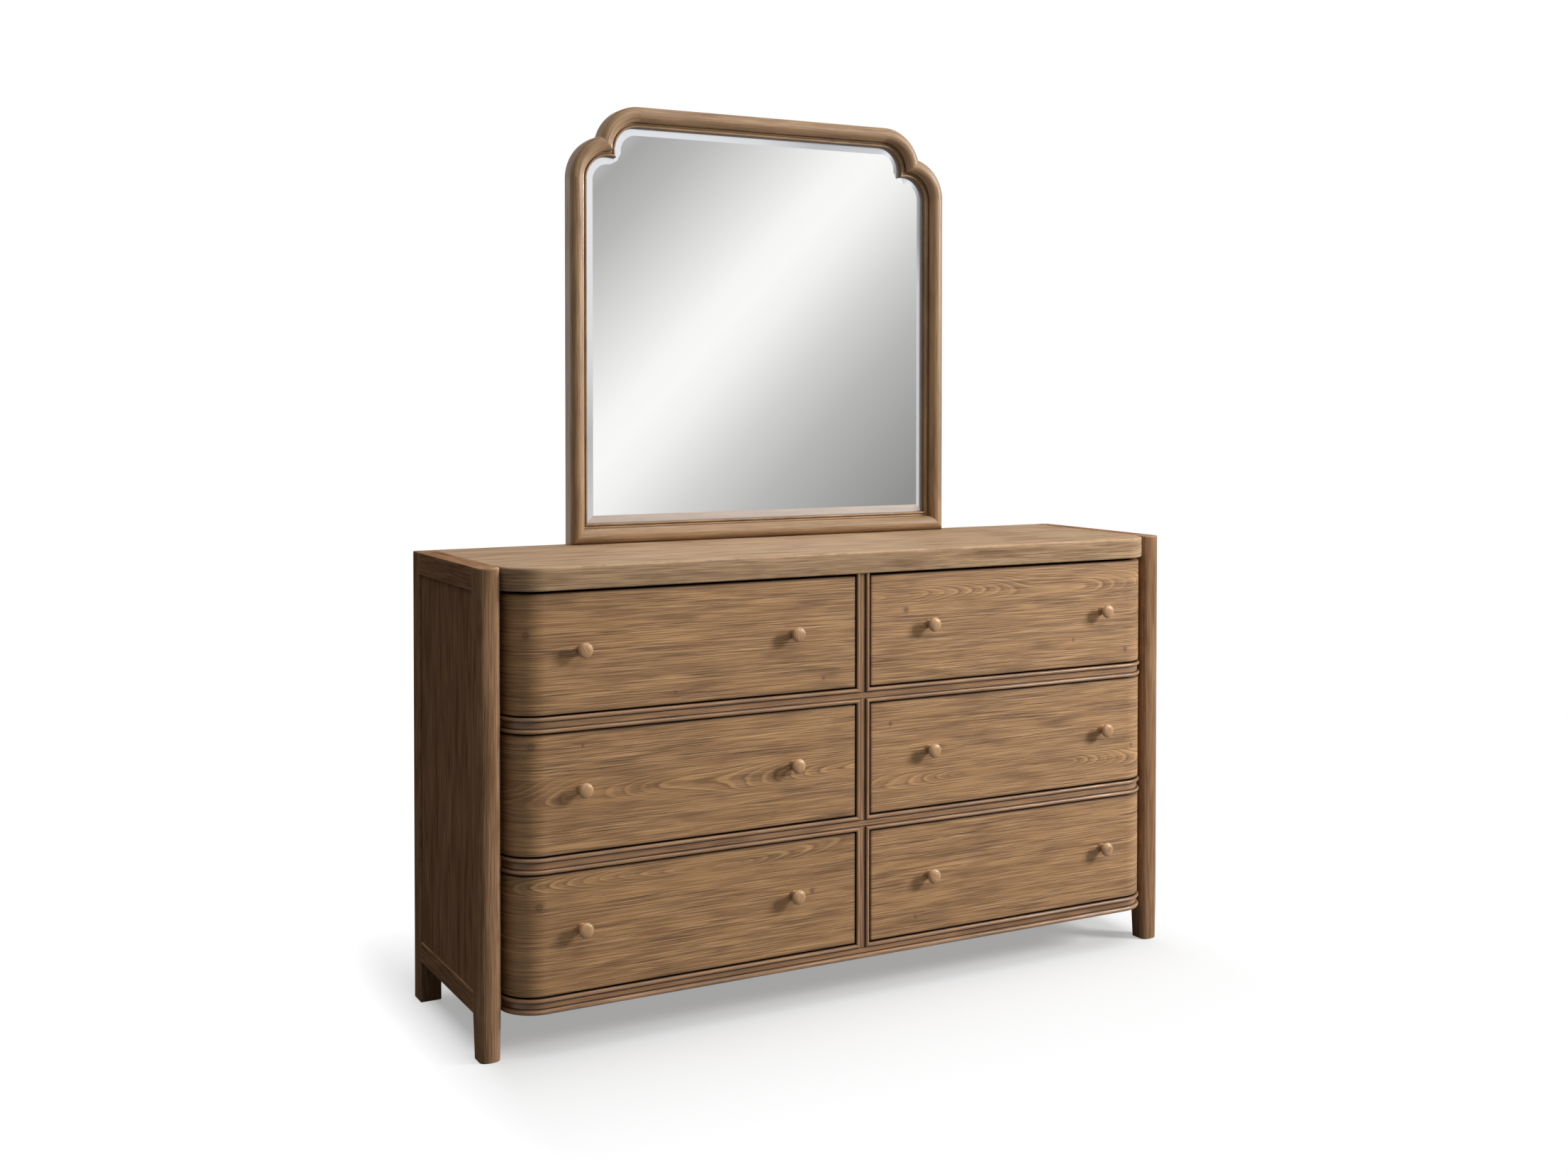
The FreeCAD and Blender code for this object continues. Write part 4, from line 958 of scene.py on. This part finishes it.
def glass_edge():
    """Points round the sheet, each with the way in, as (x, height, way x, way height)."""
    radius = shoulder_radius - glass_inset
    last = mitre_turn(radius)
    low = mirror_low + glass_inset
    side = mirror_half - glass_inset

    def round_point(centre, turn):
        """A point of an arc, facing its centre."""
        x, up = math.cos(turn), math.sin(turn)
        return centre[0] + radius * x, centre[1] + radius * up, -x, -up

    points = [(0.0, low, 0.0, 1.0), (side, low, -1.0, 1.0)]
    points += [round_point(low_centre, last * i / 16) for i in range(17)]
    notch = points[-1]
    for i in range(1, 12):
        nearness = abs(i / 6 - 1)
        end = (notch[2], notch[3]) if i < 6 else (notch[3], notch[2])
        way = [nearness * part - (1 - nearness) * notch_lean for part in end]
        points.append((notch[0], notch[1], way[0], way[1]))
    points += [round_point(high_centre, math.pi / 2 - last * (1 - i / 16)) for i in range(17)]
    points.append((0.0, high_centre[1] + radius, 0.0, -1.0))
    return points + [(-x, height, -way_x, way) for x, height, way_x, way in points[-2:0:-1]]


silver, mirror = new_finish("silvered_mirror")
wear = mirror.node("ShaderNodeAttribute", {"attribute_name": "wear"}, output="Fac")
smears = mirror.node("ShaderNodeTexCoord", output="Object")
smears = mirror.node("ShaderNodeTexNoise", (), {"Vector": smears, "Scale": 5.0, "Detail": 3.0})
colour = over(mirror.node("ShaderNodeRGB"), (0.956, 0.959, 0.947, 1), 1.0)
colour = over(colour, (0.89, 0.91, 0.95, 1), wear)
sockets = {"Base Color": colour, "Roughness": smears * 0.012 + 0.004, "Metallic": 1 - wear * 0.3}
shader = mirror.node("ShaderNodeBsdfPrincipled", (), sockets)
mirror.node("ShaderNodeOutputMaterial", (), {"Surface": shader})

glass = bmesh.new()
wear = glass.verts.layers.float.new("wear")
rings = []
for inset, out, bevelled in (
    (0, glass_front - glass_thick, 0), (0, glass_front - glass_drop, 1),
    (bevel_width, glass_front, 1), (bevel_width + 0.0003, glass_front, 0),
):
    ring = []
    for x, height, way_x, way_up in glass_edge():
        point = glass.verts.new(at(x + way_x * inset, out, height + way_up * inset))
        point[wear] = bevelled
        ring.append(point)
    rings.append(ring)
for first, second in zip(rings, rings[1:]):
    for i in range(len(first)):
        j = (i + 1) % len(first)
        if (first[i].co - first[j].co).length < 1e-7:
            if (second[i].co - second[j].co).length > 1e-7:
                glass.faces.new((first[i], second[j], second[i]))
        else:
            glass.faces.new((first[i], first[j], second[j], second[i]))
glass.faces.new(rings[0][::-1])
glass.faces.new(rings[-1])
glass_plate = settle(glass, "mirror_plate", silver, "case", ["mirror_glass"])
for face in glass_plate.data.polygons:
    face.use_smooth = False

# ---------------------------------------------------------------- backing and supports
# A thin pine board closes the back of the mirror. Two pine battens stand against the back of
# the case and the frame, sawn square and left unstained.

batten_inner = 0.270
batten_outer = 0.330
batten_thick = 0.0187
batten_low = 0.700
batten_high = 1.9228
upright_pine = pine("upright_pine", *raw_pine)
finish_plain("mirror_backing", board_pine)
for side, sign in (("left", -1), ("right", 1)):
    batten = new_piece()
    plank(
        batten, squared(batten_inner, batten_outer, -batten_thick, 0),
        eased_rows(batten_low, batten_high, 0.001),
        lambda height, x, depth: (at(sign * x, depth, height), height), (sign * 4.2, -0.26, 0.05),
    )
    settle(batten, f"mirror_batten_{side}", upright_pine, "case", [f"mirror_support_{side}"])

# ---------------------------------------------------------------- screws
# Eight zinc-plated wood screws hold the battens to the case and to the mirror frame, with
# flat heads let into the wood and a cross pressed in each.

steel, metal = new_finish("zinc_steel")
place = metal.node("ShaderNodeTexCoord", output="Object")
speck = metal.node("ShaderNodeTexNoise", (), {"Vector": place, "Scale": 900.0, "Detail": 2.0})
colour = over(metal.node("ShaderNodeRGB"), (0.50, 0.50, 0.50, 1), 1.0)
colour = over(colour, (0.66, 0.66, 0.68, 1), speck)
sockets = {"Base Color": colour, "Roughness": speck * 0.2 + 0.28, "Metallic": 1.0}
shader = metal.node("ShaderNodeBsdfPrincipled", (), sockets)
metal.node("ShaderNodeOutputMaterial", (), {"Surface": shader})
head_radius = 0.0045
shank_radius = 0.00225
screw_length = 0.034
screw_seat = -0.019
screw_heights = (0.890, 0.933, 0.973, 1.907)
cross_reach = 0.0026
cross_half = 0.0006
cross_depth = 0.0014
screw = bmesh.new()
cross = []
for quarter in range(4):
    turn = math.radians(90 * quarter)
    for x, up in ((cross_half, -cross_half), (cross_reach, -cross_half), (cross_reach, cross_half)):
        cross.append((x * math.cos(turn) - up * math.sin(turn), x * math.sin(turn) + up * math.cos(turn)))
rim = [(math.cos(math.tau * i / 24), math.sin(math.tau * i / 24)) for i in range(24)]
lip = [screw.verts.new((x, 0, up)) for x, up in cross]
pit = [screw.verts.new((x * 0.55, -cross_depth, up * 0.55)) for x, up in cross]
head_edge, neck, tip = [
    [screw.verts.new((x * radius, -reach, up * radius)) for x, up in rim]
    for radius, reach in ((head_radius, 0), (shank_radius, shank_radius), (shank_radius, screw_length))
]
for first, second in ((lip, pit), (head_edge, neck), (neck, tip)):
    band(screw, first, second)
screw.faces.new(pit)
screw.faces.new(tip)
open_edges = [edge for edge in screw.edges if edge.is_boundary]
bmesh.ops.triangle_fill(screw, use_beauty=True, edges=open_edges)
screw_places = [at(x, screw_seat, height) for x in (-0.300, 0.300) for height in screw_heights]
screws = set_out(screw, screw_places, **{"Most Turn": (0, math.tau, 0), "Seed": 5, "Finish": steel})
settle(screws, "batten_screws", steel, "case", ["mirror_screws"])

# ---------------------------------------------------------------- studio
# A pale floor that fades to white, a large soft light from the front right, another
# overhead, and a weak even fill. The mirror sees soft grey walls crossed by a bright one,
# and the sheen of the wood also sees a pale wall behind on the left.

floor_finish, ground = new_finish("studio_floor")
# how far a point of the floor lies outside the case, sideways counted four times
beside = ground.node("ShaderNodeTexCoord", output="Object")
for operation, amount in (
    ("ABSOLUTE", (0, 0, 0)), ("SUBTRACT", (0.80, 0.20, 0)), ("MAXIMUM", (0, 0, 0)), ("MULTIPLY", (4, 1, 1)),
):
    beside = ground.node("ShaderNodeVectorMath", {"operation": operation}, {0: beside, 1: amount})
beside = ground.node("ShaderNodeVectorMath", {"operation": "LENGTH"}, {0: beside}, 1)
far = beside.shaped((0, 0), (0.20, 0.5), (0.50, 1))
rays = ground.node("ShaderNodeLightPath")
seen = rays.maths("MAXIMUM", rays.part("Is Camera Ray"), rays.part("Is Glossy Ray"))
matte = ground.node("ShaderNodeBsdfDiffuse", (), {"Color": seen * 0.28 + 0.18})
glow = ground.node("ShaderNodeEmission", (), {"Strength": seen * 0.35})
lit = ground.node("ShaderNodeAddShader", (), {0: matte, 1: glow})
white = ground.node("ShaderNodeEmission", (), {"Strength": seen})
blend = ground.node("ShaderNodeMixShader", (), {0: far * seen, 1: lit, 2: white})
ground.node("ShaderNodeOutputMaterial", (), {"Surface": blend})
floor = bmesh.new()
bmesh.ops.create_circle(floor, cap_ends=True, segments=96, radius=6.0)
floor_mesh = bpy.data.meshes.new("studio_floor")
floor.to_mesh(floor_mesh)
floor.free()
floor_mesh.materials.append(floor_finish)
studio_floor = bpy.data.objects.new("studio_floor", floor_mesh)
bpy.context.scene.collection.objects.link(studio_floor)

world = bpy.data.worlds.new("studio")
bpy.context.scene.world = world
world.use_nodes = True
world.node_tree.nodes.clear()
air = Value(world.node_tree)
side_way, front_way, up_way = air.node("ShaderNodeTexCoord", output="Generated").axes()
ahead = air.maths("MAXIMUM", front_way * -1, 0.15)
slant_scale = 1.333
slant_start = 1.12
slant = (up_way - side_way) / ahead * slant_scale + slant_start
behind = front_way.shaped((0, 0), (0.3, 1)) * side_way.shaped((0, 0.1), (0.25, 1))
behind = behind + front_way.shaped((0, 0), (0.2, 1)) * (side_way * -1).shaped((0.1, 0), (0.4, 1.8))
wave = slant.shaped(
    (0.08, 0.66), (0.13, 0.27), (0.17, 0.29), (0.24, 0.375), (0.32, 0.495), (0.39, 0.665),
    (0.467, 0.92), (0.507, 0.985), (0.54, 0.96), (0.615, 0.73), (0.688, 0.505), (0.74, 0.40),
    (0.80, 0.72), (0.92, 0.84),
)
walls = air.maths("MAXIMUM", wave * (front_way * -1).shaped((0, 0.1), (0.15, 1)), behind)
rays = air.node("ShaderNodeLightPath")
camera_sees = rays.part("Is Camera Ray")
glossy = rays.part("Is Glossy Ray")
fill = side_way.shaped((0, 0.02), (1, 0.24)) + up_way.shaped((0.72, 0), (0.85, 1.2))
fill = fill + front_way.shaped((0.3, 0), (1, 0.4))
strength = camera_sees + (1 - camera_sees) * (glossy * walls + (1 - glossy) * fill)
sky = air.node("ShaderNodeBackground", (), {"Color": (1, 1, 1, 1), "Strength": strength})
air.node("ShaderNodeOutputWorld", (), {"Surface": sky})

for name, place, aim, size, power in (
    ("key_light", (5.0, -3.5, 3.0), (0, 0, 0.8), 1.5, 430),
    ("top_light", (0.9, -2.2, 4.4), (0, 0, 0.6), 2.4, 60),
):
    lamp = bpy.data.lights.new(name, "AREA")
    lamp.shape = "SQUARE"
    lamp.size = size
    lamp.energy = power
    light = bpy.data.objects.new(name, lamp)
    light.location = place
    light.rotation_euler = (Vector(aim) - Vector(place)).to_track_quat("-Z", "Y").to_euler()
    bpy.context.scene.collection.objects.link(light)

# the focal length and where the camera points, in pixels of its frame
image_width = 2212
image_height = 1659
focal = 2433.44
axis_x = 1072.0
axis_y = 608.3
look_down = 0.0209
look_right = 0.4872
lens = bpy.data.cameras.new("camera")
lens.sensor_width = 36
lens.lens = focal / image_width * lens.sensor_width
lens.shift_x = (image_width / 2 - axis_x) / image_width
lens.shift_y = (axis_y - image_height / 2) / image_width
lens.clip_end = 50
camera = bpy.data.objects.new("camera", lens)
camera.location = at(-1.9024, 3.5873, 1.2876)
camera.rotation_euler = (math.pi / 2 - look_down, 0, -look_right)
bpy.context.scene.collection.objects.link(camera)
bpy.context.scene.camera = camera
bpy.context.scene.view_settings.view_transform = "Standard"
